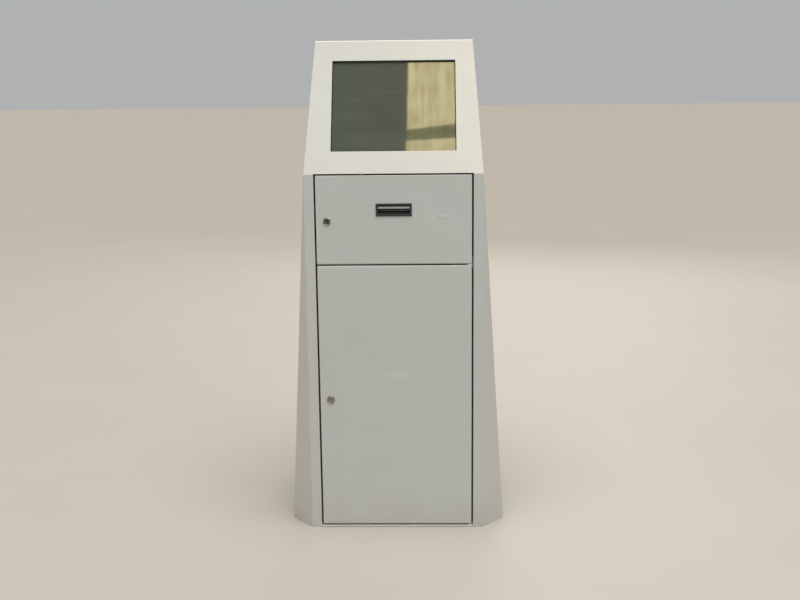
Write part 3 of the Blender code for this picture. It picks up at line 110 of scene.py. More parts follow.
# ---- material builder
class Surface:
    """A Principled material with short ways to add and join procedural nodes."""

    def __init__(self, name, colour, roughness, **sockets):
        self.material = bpy.data.materials.new(name)
        self.material.use_nodes = True
        self.tree = self.material.node_tree
        self.shader = self.tree.nodes["Principled BSDF"]
        self.shader.inputs["Base Color"].default_value = (*colour, 1.0)
        self.shader.inputs["Roughness"].default_value = roughness
        for socket, value in sockets.items():
            self.shader.inputs[socket.replace("_", " ")].default_value = value
        self.place = self.add("ShaderNodeTexCoord").outputs["Object"]

    def add(self, kind, **settings):
        node = self.tree.nodes.new(kind)
        for setting, value in settings.items():
            setattr(node, setting, value)
        return node

    def feed(self, socket, value):
        if isinstance(value, bpy.types.NodeSocket):
            self.tree.links.new(value, socket)
        elif isinstance(value, tuple) and len(socket.default_value) == 4:
            socket.default_value = (*value[:3], 1.0)
        else:
            socket.default_value = value

    def fill(self, node, **inputs):
        for socket, value in inputs.items():
            self.feed(node.inputs[socket], value)

    def stretched(self, scale):
        """The object's own coordinates, in metres, scaled along each axis."""
        node = self.add("ShaderNodeMapping")
        self.fill(node, Vector=self.place, Scale=scale)
        return node.outputs["Vector"]

    def noise(self, scale, detail=3.0, roughness=0.55, stretch=None):
        node = self.add("ShaderNodeTexNoise")
        place = self.stretched(stretch) if stretch else self.place
        self.fill(node, Vector=place, Scale=scale, Detail=detail, Roughness=roughness)
        return node.outputs["Fac"]

    def cells(self, scale):
        node = self.add("ShaderNodeTexVoronoi")
        self.fill(node, Vector=self.place, Scale=scale)
        return node.outputs["Color"]

    def axis(self, name, vector=None):
        node = self.add("ShaderNodeSeparateXYZ")
        self.fill(node, Vector=vector or self.place)
        return node.outputs[name]

    def near(self, point, radius, stretch=(1.0, 1.0, 1.0)):
        """1 at a point and 0 beyond a radius, in metres; stretch squeezes the round spot."""
        node = self.add("ShaderNodeVectorMath", operation="DISTANCE")
        self.feed(node.inputs[0], self.stretched(stretch))
        node.inputs[1].default_value = [part * factor for part, factor in zip(point, stretch)]
        return self.span(node.outputs["Value"], radius, 0.0)

    def span(self, value, low, high, to_low=0.0, to_high=1.0):
        node = self.add("ShaderNodeMapRange")
        for socket, entry in zip(node.inputs, (value, low, high, to_low, to_high)):
            self.feed(socket, entry)
        return node.outputs["Result"]

    def calc(self, operation, first, second=0.0):
        node = self.add("ShaderNodeMath", operation=operation)
        self.feed(node.inputs[0], first)
        self.feed(node.inputs[1], second)
        return node.outputs["Value"]

    def mix(self, amount, first, second):
        node = self.add("ShaderNodeMix", data_type="RGBA")
        for index, value in ((0, amount), (6, first), (7, second)):
            self.feed(node.inputs[index], value)
        return node.outputs[2]

    def bump(self, height, distance, strength=1.0, below=None):
        node = self.add("ShaderNodeBump")
        self.fill(node, Height=height, Distance=distance, Strength=strength)
        if below is not None:
            self.feed(node.inputs["Normal"], below)
        return node.outputs["Normal"]

    def colour(self, value):
        self.feed(self.shader.inputs["Base Color"], value)

    def roughness(self, value):
        self.feed(self.shader.inputs["Roughness"], value)

    def normal(self, value):
        self.feed(self.shader.inputs["Normal"], value)


def shade(colour, factor):
    return tuple(min(1.0, part * factor) for part in colour)


# ---- materials
PAINT = (0.480, 0.495, 0.480)
FLOOR_DUST = (0.33, 0.29, 0.23)
PAINTED_UPWARD_HIGHLIGHT = (0.88, 0.87, 0.83)
DARK_GLASS = (0.065, 0.074, 0.055)
GLASS_PAINTED_REFLECTION = (0.058, 0.080, 0.078)


def powder_coat(name, colour, smudges, painted_dent_shading):
    """Satin powder coat: cloudy tone, orange peel, rubbed marks round the locks, darker patches and a painted
    highlight and shade on the dents, dust near the floor and a painted highlight on upward faces.
    """
    paint = Surface(name, colour, 0.42, Coat_Weight=0.10, Coat_Roughness=0.30)
    clouds = paint.span(paint.noise(2.6, 5.0, 0.6), 0.30, 0.70)
    tone = paint.mix(clouds, shade(colour, 0.962), shade(colour, 1.028))
    cooler = (colour[0] * 0.975, colour[1], colour[2] * 1.05)
    layers = (
        (paint.noise(5.5, 4.0, 0.6, (0.7, 1.0, 1.5)), 0.44, 0.68, 0.55, cooler),
        (paint.noise(15.0, 3.0, 0.5, (1.0, 1.0, 1.6)), 0.40, 0.62, 0.50, shade(colour, 0.982)),
        (paint.noise(9.0, 4.0, 0.6, (3.5, 3.5, 0.22)), 0.45, 0.75, 0.45, shade(colour, 0.972)),
        (paint.noise(900.0, 2.0), 0.35, 0.65, 0.30, shade(colour, 0.94)),
    )
    for noise, low, high, most, layer in layers:
        tone = paint.mix(paint.span(noise, low, high, 0.0, most), tone, layer)
    rubbed = paint.span(paint.noise(26.0, 6.0, 0.7), 0.52, 0.70)
    # darker rubbed marks: grime round both locks, and darker patches over the upper door's dents
    for point, radius, strength in smudges:
        mark = paint.calc("MULTIPLY", paint.near(point, radius), paint.calc("MULTIPLY", rubbed, strength))
        tone = paint.mix(mark, tone, shade(colour, 0.66))
    # painted highlight and shade of dents: lighter and darker spots, squeezed flat, on the doors
    for point, radius, strength, lightness in painted_dent_shading:
        spot = paint.span(paint.near(point, radius, (1.0, 1.0, 3.2)), 0.0, 0.6)
        mark = paint.calc("MULTIPLY", spot, strength)
        tone = paint.mix(mark, tone, shade(colour, lightness))
    dust_height = paint.span(paint.axis("Z"), 0.12, 0.0, 0.0, 0.34)
    dust = paint.calc("MULTIPLY", dust_height, paint.span(paint.noise(14.0, 5.0, 0.7), 0.32, 0.68))
    tone = paint.mix(dust, tone, FLOOR_DUST)
    # painted highlight: upward faces, above all the doors' top folds, are lightened towards a pale colour
    upward = paint.axis("Z", paint.add("ShaderNodeNewGeometry").outputs["Normal"])
    tone = paint.mix(paint.span(upward, 0.50, 0.62, 0.0, 0.9), tone, PAINTED_UPWARD_HIGHLIGHT)
    paint.colour(tone)
    paint.roughness(paint.span(paint.noise(11.0, 4.0, 0.6), 0.3, 0.7, 0.34, 0.46))
    ripple = paint.bump(paint.noise(4.5, 1.0, 0.4, (1.0, 1.0, 0.7)), 0.0022, 0.22)
    peel = paint.bump(paint.noise(520.0, 2.0, 0.5), 0.00006, 0.6, ripple)
    paint.normal(peel)
    return paint.material


def zinc_plate(name, colour=(0.58, 0.59, 0.60), smooth=0.26, rough=0.50):
    """Zinc-plated sheet: faint spangle, brushed lines and duller patches."""
    zinc = Surface(name, colour, 0.38, Metallic=1.0)
    tone = zinc.mix(0.10, colour, zinc.cells(120.0))
    patches = zinc.span(zinc.noise(18.0, 5.0, 0.7), 0.4, 0.7, 0.0, 0.6)
    zinc.colour(zinc.mix(patches, tone, shade(colour, 0.72)))
    zinc.roughness(zinc.span(zinc.noise(40.0, 4.0), 0.3, 0.7, smooth, rough))
    lines = zinc.noise(60.0, 3.0, 0.6, (1.0, 1.0, 30.0))
    zinc.normal(zinc.bump(lines, 0.00005, 0.5))
    return zinc.material


def moulded_plastic(name, colour, roughness=0.5):
    """Moulded plastic with a fine spark-eroded grain and some dust."""
    plastic = Surface(name, colour, roughness)
    dust = plastic.span(plastic.noise(35.0, 6.0, 0.7), 0.50, 0.80, 0.0, 0.30)
    plastic.colour(plastic.mix(dust, colour, shade(colour, 1.7)))
    low, high = roughness - 0.07, roughness + 0.08
    plastic.roughness(plastic.span(plastic.noise(60.0, 4.0), 0.3, 0.7, low, high))
    plastic.normal(plastic.bump(plastic.noise(1800.0, 2.0), 0.00004, 0.7))
    return plastic.material


def plated_metal(name, colour, dull=0.55, smooth=0.10, rough=0.32):
    """Plated or cast lock metal with fine scratches and a film of dirt."""
    metal = Surface(name, colour, 0.16, Metallic=1.0)
    film = metal.span(metal.noise(260.0, 5.0, 0.7), 0.45, 0.75, 0.0, 0.55)
    metal.colour(metal.mix(film, colour, shade(colour, dull)))
    metal.roughness(metal.span(metal.noise(420.0, 4.0), 0.35, 0.7, smooth, rough))
    metal.normal(metal.bump(metal.noise(900.0, 3.0, 0.6, (1.0, 1.0, 8.0)), 0.00002, 0.6))
    return metal.material


def display_glass():
    """Dark display behind a glossy touch glass, with wiped streaks, finger marks and a painted cool
    reflection towards its left edge.
    """
    dark = DARK_GLASS
    glass = Surface("display_glass", dark, 0.03, IOR=1.55)
    haze = glass.span(glass.noise(4.0, 4.0, 0.6, (1.0, 1.0, 0.6)), 0.30, 0.70)
    tone = glass.mix(haze, shade(dark, 0.90), shade(dark, 1.12))
    # painted reflection: a cooler, bluer tint towards the glass's left edge
    painted_reflection_mask = glass.span(glass.axis("X"), GLASS_LOW.x + 0.09, GLASS_LOW.x, 0.0, 0.5)
    tone = glass.mix(painted_reflection_mask, tone, GLASS_PAINTED_REFLECTION)
    wipes = glass.span(glass.noise(7.0, 5.0, 0.65, (0.5, 1.0, 2.4)), 0.52, 0.70, 0.0, 0.45)
    glass.colour(glass.mix(wipes, tone, shade(dark, 1.5)))
    marks = glass.span(glass.noise(30.0, 6.0, 0.72), 0.58, 0.72)
    glass.roughness(glass.span(marks, 0.0, 1.0, 0.03, 0.11))
    glass.normal(glass.bump(glass.noise(3.0, 1.0), 0.0010, 0.10))
    return glass.material


def rubber(name, colour=(0.014, 0.014, 0.014)):
    """Matte rubber with a faint bloom."""
    skin = Surface(name, colour, 0.72)
    bloom = skin.span(skin.noise(45.0, 5.0, 0.7), 0.45, 0.80, 0.0, 0.35)
    skin.colour(skin.mix(bloom, colour, shade(colour, 2.6)))
    skin.normal(skin.bump(skin.noise(700.0, 3.0), 0.00005, 0.6))
    return skin.material


def wound_sheet(name, colour, fibre):
    """Wound paper or card: fine rings round the roll's ends and a fibrous tone."""
    sheet = Surface(name, colour, 0.82)
    radius = sheet.add("ShaderNodeVectorMath", operation="DISTANCE")
    sheet.feed(radius.inputs[0], sheet.stretched((0.0, 1.0, 1.0)))
    radius.inputs[1].default_value = (0.0, ROLL.y, ROLL.z)
    turns = sheet.calc("SINE", sheet.calc("MULTIPLY", radius.outputs["Value"], 9000.0))
    tone = sheet.mix(sheet.span(turns, -1.0, 1.0, 0.0, 0.35), colour, shade(colour, 0.80))
    fuzz = sheet.span(sheet.noise(fibre, 5.0, 0.7), 0.3, 0.7, 0.0, 0.5)
    sheet.colour(sheet.mix(fuzz, tone, shade(colour, 0.88)))
    sheet.normal(sheet.bump(sheet.noise(fibre, 4.0, 0.6), 0.00008, 0.6))
    return sheet.material


def circuit_board():
    """Green solder mask with lighter tracks."""
    board = Surface("circuit_board", (0.016, 0.085, 0.038), 0.35)
    tracks = board.add("ShaderNodeTexBrick")
    board.feed(tracks.inputs["Vector"], board.place)
    tracks.inputs["Scale"].default_value = 220.0
    tracks.inputs["Mortar Size"].default_value = 0.10
    board.colour(board.mix(tracks.outputs["Fac"], (0.014, 0.075, 0.034), (0.05, 0.16, 0.07)))
    board.normal(board.bump(tracks.outputs["Fac"], 0.00004, 0.8))
    return board.material


# marks on the doors: across and up from the door's middle, radius, strength and, for a dent's painted
# highlight and shade, lightness
# darker patches over the upper door's two dents
UPPER_DARK_PATCHES = ((0.127, 0.012, 0.022, 0.55), (-0.125, -0.048, 0.030, 0.30))
UPPER_PAINTED_DENT_SHADING = (
    (0.132, 0.010, 0.013, 0.75, 1.20),
    (0.124, 0.007, 0.009, 0.85, 0.74),
    (0.108, 0.009, 0.012, 0.50, 1.14),
    (-0.122, -0.052, 0.010, 0.50, 1.18),
)
LOWER_PAINTED_DENT_SHADING = (
    (0.008, 0.066, 0.045, 0.50, 1.10),
    (0.170, 0.052, 0.018, 0.35, 1.08),
    (-0.030, 0.175, 0.014, 0.30, 0.92),
)


def on_front(centre, marks):
    """Marks on the front, with their places worked out from a centre."""
    return [((centre.x + across, FRONT_Y, centre.z + up), *rest) for across, up, *rest in marks]


SMUDGES = on_front(LOCKS["upper"], ((0.006, -0.016, 0.030, 0.35),))
SMUDGES += on_front(LOCKS["lower"], ((0.004, -0.018, 0.034, 0.30),))
SMUDGES += on_front(middle_of("upper_door"), UPPER_DARK_PATCHES)
PAINTED_DENT_SHADING = on_front(middle_of("upper_door"), UPPER_PAINTED_DENT_SHADING) + on_front(middle_of("lower_door"), LOWER_PAINTED_DENT_SHADING)
MATERIALS = {
    "painted_steel": powder_coat("powder_coat", PAINT, SMUDGES, PAINTED_DENT_SHADING),
    "zinc_steel": zinc_plate("zinc_plate"),
    "lock_chrome": plated_metal("lock_chrome", (0.34, 0.335, 0.31)),
    "bright_bar": zinc_plate("bright_bar", (0.42, 0.425, 0.35), 0.36, 0.50),
    "black_plastic": moulded_plastic("black_plastic", (0.020, 0.021, 0.021), 0.42),
    "grey_plastic": moulded_plastic("grey_plastic", (0.13, 0.135, 0.14)),
    "black_rubber": rubber("black_rubber"),
    "white_plastic": moulded_plastic("white_plastic", (0.62, 0.60, 0.55)),
    "pinion_brass": plated_metal("pinion_brass", (0.66, 0.50, 0.24), 0.45, 0.18, 0.36),
    "screen_glass": display_glass(),
    "paper": wound_sheet("paper", (0.80, 0.79, 0.75), 300.0),
    "cardboard": wound_sheet("cardboard", (0.36, 0.25, 0.14), 500.0),
}
KEY_STEEL_AND_PIN_SHADE = plated_metal("key_steel_and_pin_shade", (0.11, 0.10, 0.085), 0.4, 0.14, 0.30)
KEY_BRASS = plated_metal("key_brass", (0.56, 0.49, 0.36), 0.85, 0.34, 0.55)
BOARD = circuit_board()
COLOURED = {
    "red": moulded_plastic("red_sleeve", (0.42, 0.03, 0.02), 0.45),
    "blue": moulded_plastic("blue_sleeve", (0.02, 0.06, 0.30), 0.45),
    "earth": moulded_plastic("earth_sleeve", (0.16, 0.34, 0.04), 0.45),
    "lever": moulded_plastic("lever_green", (0.04, 0.24, 0.13), 0.40),
}


# ---- mesh helpers
TINY = 0.01 * MM
NARROW_FACE = 4.5 * MM
FLAT_BELOW = math.radians(0.6)
BEND_ABOVE = math.radians(22)
KNIFE_ABOVE = math.radians(150)
SMOOTH_BELOW = math.radians(38)


def hexagon_form(angle):
    third = math.pi / 3
    return math.cos(third / 2) / math.cos(angle % third - third / 2)


def key_form(angle):
    """Tall narrow slot with square ends."""
    return min(1.0 / max(abs(math.sin(angle)), 1e-6), 0.34 / max(abs(math.cos(angle)), 1e-6))


def cross_form(angle):
    """Four-armed star, as the recess of a cross-head screw."""
    quarter = math.pi / 2
    aside = abs((angle + quarter / 2) % quarter - quarter / 2)
    return min(1.0 / math.cos(aside), 0.32 / max(math.sin(aside), 1e-6))


FORMS = {"hexagon": hexagon_form, "cross": cross_form, "key": key_form}


def standing(place, axis, turn=0.0):
    """Matrix that puts local Z along an axis at a place, turned about it."""
    outward = Vector(axis).normalized()
    upright = Vector((0, 0, 1)) if abs(outward.z) < 0.9 else Vector((0, 1, 0))
    side = upright.cross(outward).normalized()
    rise = outward.cross(side)
    base = Matrix((side, rise, outward)).transposed().to_4x4()
    return Matrix.Translation(place) @ base @ Matrix.Rotation(turn, 4, "Z")


class Part:
    """One piece under construction; its shapes are closed bodies that lie side by side."""

    def __init__(self):
        self.shape = bmesh.new()

    def rings(self, rings, looped=False):
        """Skin over rings of points, capped at both ends or looped; one point is an apex."""
        made = [[self.shape.verts.new(point) for point in ring] for ring in rings]
        if looped:
            made.append(made[0])
        for near, far in zip(made, made[1:]):
            count = max(len(near), len(far))
            for step in range(count):
                after = (step + 1) % count
                here = (near[step % len(near)], near[after % len(near)])
                there = (far[after % len(far)], far[step % len(far)])
                self.shape.faces.new(tuple(dict.fromkeys(here + there)))
        for ring in () if looped else (made[0], made[-1]):
            if len(ring) > 1:
                self.shape.faces.new(ring)
        return self

    def lathe(self, profile, matrix, sides=24, looped=False):
        """Turned body: radius and height in millimetres and, where not round, a form's name."""
        rings = []
        for radius, height, *form in profile:
            if radius == 0:
                rings.append([matrix @ mm(0, 0, height)])
                continue
            ring = []
            for step in range(sides):
                angle = 2 * math.pi * step / sides
                reach = radius * FORMS[form[0]](angle) if form else radius
                ring.append(matrix @ mm(reach * math.cos(angle), reach * math.sin(angle), height))
            rings.append(ring)
        return self.rings(rings, looped)

    def block(self, low, high, rounding, matrix=None):
        """Box between two corners in metres, its edges rounded by a radius in millimetres."""
        body = bmesh.new()
        bmesh.ops.create_cube(body, size=1.0)
        for vertex in body.verts:
            for axis in range(3):
                vertex.co[axis] = low[axis] + (vertex.co[axis] + 0.5) * (high[axis] - low[axis])
        edges = body.edges[:]
        bmesh.ops.bevel(body, geom=edges, offset=rounding * MM, segments=2, affect="EDGES", profile=0.5)
        if matrix:
            bmesh.ops.transform(body, matrix=matrix, verts=body.verts)
        mesh = bpy.data.meshes.new("working")
        body.to_mesh(mesh)
        body.free()
        self.shape.from_mesh(mesh)
        bpy.data.meshes.remove(mesh)
        return self

    def wire(self, points, radius, sides=8):
        """Round wire along a route without twisting, its radius in millimetres."""
        path = smooth_route(points)
        rings = []
        side = (path[1] - path[0]).cross(Vector((0.02, 0.1, 1.0)))
        for index, point in enumerate(path):
            along = (path[min(index + 1, len(path) - 1)] - path[max(index - 1, 0)]).normalized()
            side = (side - along * side.dot(along)).normalized()
            rise = along.cross(side)
            ring = []
            for step in range(sides):
                angle = 2 * math.pi * step / sides
                ring.append(point + (side * math.cos(angle) + rise * math.sin(angle)) * radius * MM)
            rings.append(ring)
        return self.rings(rings)

    def place(self, name, slot, body="cabinet", material=None, replaces=()):
        """Finish the mesh: give it the slot's material unless another is given, hide the CAD nodes it stands
        for and attach it to its body.
        """
        bmesh.ops.recalc_face_normals(self.shape, faces=self.shape.faces)
        mesh = bpy.data.meshes.new(name)
        self.shape.to_mesh(mesh)
        self.shape.free()
        mesh.shade_smooth()
        mesh.set_sharp_from_angle(angle=SMOOTH_BELOW)
        item = linked(name, mesh)
        mesh.materials.append(material or MATERIALS[slot])
        for node in replaces:
            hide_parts(node)
        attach(item, body)
        return item


def smooth_route(points, steps=6):
    """Points along a Catmull-Rom curve through the given ones."""
    knots = [Vector(point) for point in points]
    ends = [knots[0] * 2 - knots[1]] + knots + [knots[-1] * 2 - knots[-2]]
    route = []
    for before, start, end, after in zip(ends, ends[1:], ends[2:], ends[3:]):
        for step in range(steps):
            part = step / steps
            bend = start * 2 + (end - before) * part
            bend += (before * 2 - start * 5 + end * 4 - after) * part**2
            bend += (start * 3 - before - end * 3 + after) * part**3
            route.append(bend / 2)
    route.append(knots[-1])
    return route


def depth_behind(edge, loop):
    """How far a face reaches back from the middle of one of its edges."""
    start = loop.vert.co
    along = (loop.link_loop_next.vert.co - start).normalized()
    inward = loop.face.normal.cross(along)
    middle = (edge.verts[0].co + edge.verts[1].co) / 2
    nearest = math.inf
    for other in loop.face.edges:
        if other is edge:
            continue
        first, second = (vertex.co - middle for vertex in other.verts)
        before, after = first.dot(along), second.dot(along)
        if before * after > 0 or before == after:
            continue
        share = before / (before - after)
        reach = first.dot(inward) + share * (second - first).dot(inward)
        if reach > TINY:
            nearest = min(nearest, reach)
    return nearest


def refined(node, fold_radius, rim_radius, segments=3, crown=1.0):
    """The CAD node again with rounded edges, in millimetres: sheet bends wide, cut edges fine.

    Where crown is under 1, only the bend along the top of the front keeps the full radius.
    """
    front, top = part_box(node)[0].y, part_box(node)[1].z
    body = bmesh.new()
    body.from_mesh(NODES[node].data)
    bmesh.ops.remove_doubles(body, verts=body.verts, dist=2 * TINY)
    bmesh.ops.dissolve_limit(body, angle_limit=FLAT_BELOW, verts=body.verts, edges=body.edges)
    weights = body.edges.layers.float.new("bevel_weight_edge")
    knives = [edge for edge in body.edges if edge.calc_face_angle(0) > KNIFE_ABOVE]
    knife_points = {vertex for edge in knives for vertex in edge.verts}
    for edge in body.edges:
        if knife_points.intersection(edge.verts) or edge.calc_face_angle(0) < BEND_ABOVE:
            continue
        wide = edge.is_convex and min(depth_behind(edge, loop) for loop in edge.link_loops) > NARROW_FACE
        along_top = all(vertex.co.z > top - MM and vertex.co.y < front + MM for vertex in edge.verts)
        edge[weights] = (1.0 if along_top else crown) if wide else rim_radius / fold_radius
    for face in body.faces:
        face.smooth = True
    mesh = bpy.data.meshes.new(node + "_finished")
    body.to_mesh(mesh)
    body.free()
    mesh.materials.append(MATERIALS[SLOT_OF[node]])
    item = linked(node + "_finished", mesh)
    bevel = item.modifiers.new("rounding", "BEVEL")
    bevel.limit_method = "WEIGHT"
    bevel.width = fold_radius * MM
    bevel.segments = segments
    bevel.use_clamp_overlap = False
    normals = item.modifiers.new("normals", "WEIGHTED_NORMAL")
    normals.keep_sharp = True
    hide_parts(node)
    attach(item, BODY_OF[node])


def dress_nodes():
    """CAD nodes that stay as they are get their finished material."""
    for node, item in NODES.items():
        item.data.materials.clear()
        # the top pivot pin gets the dark key steel: painted shade, so that it stays dark inside the top gap
        item.data.materials.append(KEY_STEEL_AND_PIN_SHADE if node == "pivot_pin_top" else MATERIALS[SLOT_OF[node]])


# ---- fasteners, with their radii in millimetres
def grown(profile, radius):
    """A turned profile drawn for a radius of 1, brought to another radius."""
    return [(across * radius, height * radius, *form) for across, height, *form in profile]


def pan_screw(part, place, axis, radius, turn=0.3):
    """Cross-head pan screw on a washer."""
    profile = (
        (1.45, 0.0), (1.45, 0.16), (1.38, 0.24), (1.02, 0.24), (1.0, 0.45), (0.86, 0.72),
        (0.62, 0.84), (0.50, 0.84, "cross"), (0.30, 0.35, "cross"),
    )
    part.lathe(grown(profile, radius), standing(place, axis, turn))


def hexagon_nut(part, place, axis, radius):
    """Nut with a chamfered top and the end of its stud."""
    profile = (
        (1.0, 0.0, "hexagon"), (1.0, 0.55, "hexagon"), (0.84, 0.68), (0.50, 0.68), (0.50, 1.15), (0.40, 1.25),
    )
    part.lathe(grown(profile, radius), standing(place, axis))


def dome_rivet(part, place, axis, radius):
    profile = ((1.0, 0.0), (0.98, 0.14), (0.80, 0.38), (0.45, 0.52), (0, 0.56))
    part.lathe(grown(profile, radius), standing(place, axis), 16)


def between(low, high, count):
    return [low + (high - low) * step / (count - 1) for step in range(count)]


# ---- stage, light and camera
FLOOR_REACH = 30.0
SKYLIGHT_HEIGHT = 3.2
SKYLIGHT_STRENGTH = 10.0
CEILING_LAMP_HEIGHT = 3.0
CEILING_LAMP_STRENGTH = 60.0
WORLD_STRENGTH = 0.27
OVERHEAD_AIM = (-0.04, 0.22, -1.0)
OVERHEAD_SPREAD = math.radians(50.0)
OVERHEAD_POWER = 4.25
OVERHEAD_COLOUR = (1.0, 0.92, 0.885)
# name, place, what it faces, size, power, colour
AREA_LIGHTS = (
    ("front", (-0.5, -4.6, 2.0), (0.0, -0.2, 0.7), (3.0, 2.6), 34.0, (0.56, 0.83, 1.0)),
    ("warm_left", (-3.0, -1.2, 0.9), (0.0, -0.1, 0.6), (1.6, 1.6), 8.5, (1.0, 0.64, 0.30)),
    ("warm_right", (3.0, -1.2, 0.9), (0.0, -0.1, 0.6), (1.6, 1.6), 14.0, (0.99, 0.91, 0.69)),
    ("rear", (0.8, 4.0, 2.4), (0.0, 0.1, 0.7), (2.6, 2.2), 50.0, (1.0, 0.98, 0.95)),
)
LENS = 51.695
CAMERA_PLACE = (0.0932, -3.2870, 1.2989)
CAMERA_HEADING = 1.477
CAMERA_DIP = 11.814
CAMERA_ROLL = -0.622


def make_stage_mesh(name, corners, height, material):
    """Flat piece of the stage, given by its corners' places on the level."""
    mesh = bpy.data.meshes.new(name)
    mesh.from_pydata([(x, y, height) for x, y in corners], [], [tuple(range(len(corners)))])
    mesh.materials.append(material)
    item = linked(name, mesh)
    return item


def make_floor():
    ground = Surface("floor", (0.37, 0.355, 0.33), 0.6)
    ground.colour(ground.mix(ground.noise(1.5, 5.0), (0.355, 0.34, 0.315), (0.385, 0.37, 0.345)))
    reach = FLOOR_REACH
    corners = ((-reach, -reach), (reach, -reach), (reach, reach), (-reach, reach))
    make_stage_mesh("floor", corners, 0, ground.material)


def glowing(name, dark, light, strength):
    """Emission in fine streaks that run away from the machine."""
    glow = Surface(name, dark, 1.0)
    streaks = glow.noise(1.0, 5.0, 0.62, (46.0, 2.6, 1.0))
    clouds = glow.noise(1.0, 4.0, 0.60, (22.0, 12.0, 1.0))
    pattern = glow.calc("ADD", glow.calc("MULTIPLY", streaks, 0.65), glow.calc("MULTIPLY", clouds, 0.35))
    emission = glow.add("ShaderNodeEmission")
    glow.fill(emission, Color=glow.mix(glow.span(pattern, 0.36, 0.60), dark, light), Strength=strength)
    glow.feed(glow.tree.nodes["Material Output"].inputs["Surface"], emission.outputs["Emission"])
    return glow.material


def make_glint(name, corners, height, material):
    """Bright piece overhead that is seen only in glossy surfaces."""
    item = make_stage_mesh(name, corners, height, material)
    item.visible_camera = False
    item.visible_diffuse = False
    item.visible_shadow = False


def make_skylight():
    """Streaky bright panes with a dim bar between them, and two ceiling lamps."""
    bright = glowing("skylight", (0.62, 0.46, 0.19), (1.0, 0.87, 0.47), SKYLIGHT_STRENGTH)
    dim = glowing("skylight_bar", (0.05, 0.05, 0.03), (0.25, 0.22, 0.06), SKYLIGHT_STRENGTH)
    panes = (
        (bright, ((0.010, -1.05), (0.60, -1.05), (0.60, -1.607), (-0.011, -1.695))),
        (bright, ((-0.017, -1.762), (0.60, -1.716), (0.60, -2.10), (-0.023, -2.10))),
        (dim, ((-0.011, -1.698), (0.60, -1.610), (0.60, -1.713), (-0.017, -1.759))),
    )
    for index, (material, corners) in enumerate(panes):
        make_glint(f"skylight_{index}", corners, SKYLIGHT_HEIGHT, material)
    lamp = glowing("ceiling_lamp", (0.9, 0.88, 0.8), (1.0, 0.97, 0.88), CEILING_LAMP_STRENGTH)
    for middle in (-0.95, 0.95):
        left, right = middle - 0.12, middle + 0.12
        corners = ((left, -1.1), (right, -1.1), (right, -0.7), (left, -0.7))
        make_glint(f"ceiling_lamp_{middle}", corners, CEILING_LAMP_HEIGHT, lamp)


def add_lamp(name, kind, place, direction, power, colour, **settings):
    lamp = bpy.data.lights.new(name, kind)
    lamp.energy = power
    lamp.color = colour
    for setting, value in settings.items():
        setattr(lamp, setting, value)
    item = linked(name, lamp)
    item.location = place
    item.rotation_euler = Vector(direction).to_track_quat("-Z", "Y").to_euler()
    return item


def make_lights():
    """Broad even light from above, and four soft panels round the machine."""
    overhead = add_lamp("overhead", "SUN", (0, 0, 0), OVERHEAD_AIM, OVERHEAD_POWER, OVERHEAD_COLOUR)
    overhead.data.angle = OVERHEAD_SPREAD
    overhead.visible_glossy = False
    for name, place, target, (wide, tall), power, colour in AREA_LIGHTS:
        direction = Vector(target) - Vector(place)
        shape = {"shape": "RECTANGLE", "size": wide, "size_y": tall}
        add_lamp(name, "AREA", place, direction, power, colour, **shape).visible_camera = False


def make_world():
    """Dim even light all round; looked at directly it is a plain pale backdrop."""
    world = bpy.data.worlds.new("studio")
    bpy.context.scene.world = world
    world.use_nodes = True
    tree = world.node_tree
    dim = tree.nodes["Background"]
    dim.inputs["Color"].default_value = (0.90, 0.87, 0.70, 1.0)
    dim.inputs["Strength"].default_value = WORLD_STRENGTH
    pale = tree.nodes.new("ShaderNodeBackground")
    pale.inputs["Color"].default_value = (0.43, 0.44, 0.45, 1.0)
    path = tree.nodes.new("ShaderNodeLightPath")
    choose = tree.nodes.new("ShaderNodeMixShader")
    tree.links.new(path.outputs["Is Camera Ray"], choose.inputs["Fac"])
    tree.links.new(dim.outputs["Background"], choose.inputs[1])
    tree.links.new(pale.outputs["Background"], choose.inputs[2])
    tree.links.new(choose.outputs["Shader"], tree.nodes["World Output"].inputs["Surface"])


def make_camera():
    """A little right of centre, looking slightly down."""
    lens = bpy.data.cameras.new("camera")
    lens.sensor_width = 36.0
    lens.lens = LENS
    camera = linked("camera", lens)
    heading = Matrix.Rotation(math.radians(CAMERA_HEADING), 4, "Z")
    tilt = Matrix.Rotation(math.radians(90.0 - CAMERA_DIP), 4, "X")
    roll = Matrix.Rotation(math.radians(CAMERA_ROLL), 4, "Z")
    camera.matrix_world = Matrix.Translation(CAMERA_PLACE) @ heading @ tilt @ roll
    bpy.context.scene.camera = camera
    bpy.context.scene.view_settings.view_transform = "Standard"


# ---- locks, in millimetres from the door's face
LOCK_RING = 11.0
LOCK_THREAD = 9.5
LOCK_GROOVE = 0.55
LOCK_TURNS = 13
LOCK_BORE = 6.2
LOCK_BODY = 22.0
LOCK_TAIL = 3.0
RING_DOME = 1.9


def lock_housing(side):
    """Domed bright ring with a threaded body through the door."""
    profile = [(LOCK_BORE, -LOCK_BODY)]
    for height in between(-LOCK_BODY, -3.0, 2 * LOCK_TURNS + 1):
        groove = len(profile) % 2 == 0
        profile.append((LOCK_THREAD - (LOCK_GROOVE if groove else 0.0), height))
    profile += [(LOCK_THREAD, -2.6), (LOCK_THREAD, GAP_MM), (LOCK_RING, GAP_MM), (LOCK_RING, 1.0)]
    rim = LOCK_RING - LOCK_BORE - 0.5
    for step in range(1, 8):
        angle = math.pi * step / 8
        radius = LOCK_RING - rim / 2 + rim / 2 * math.cos(angle)
        profile.append((radius, 1.0 + RING_DOME * math.sin(angle)))
    profile += [(LOCK_BORE + 0.5, 0.9), (LOCK_BORE, 0.3)]
    part = Part().lathe(profile, standing(LOCKS[side], FORWARD), 48, looped=True)
    part.place(side + "_lock_ring", "lock_chrome", side + "_door", replaces=[side + "_lock_housing"])


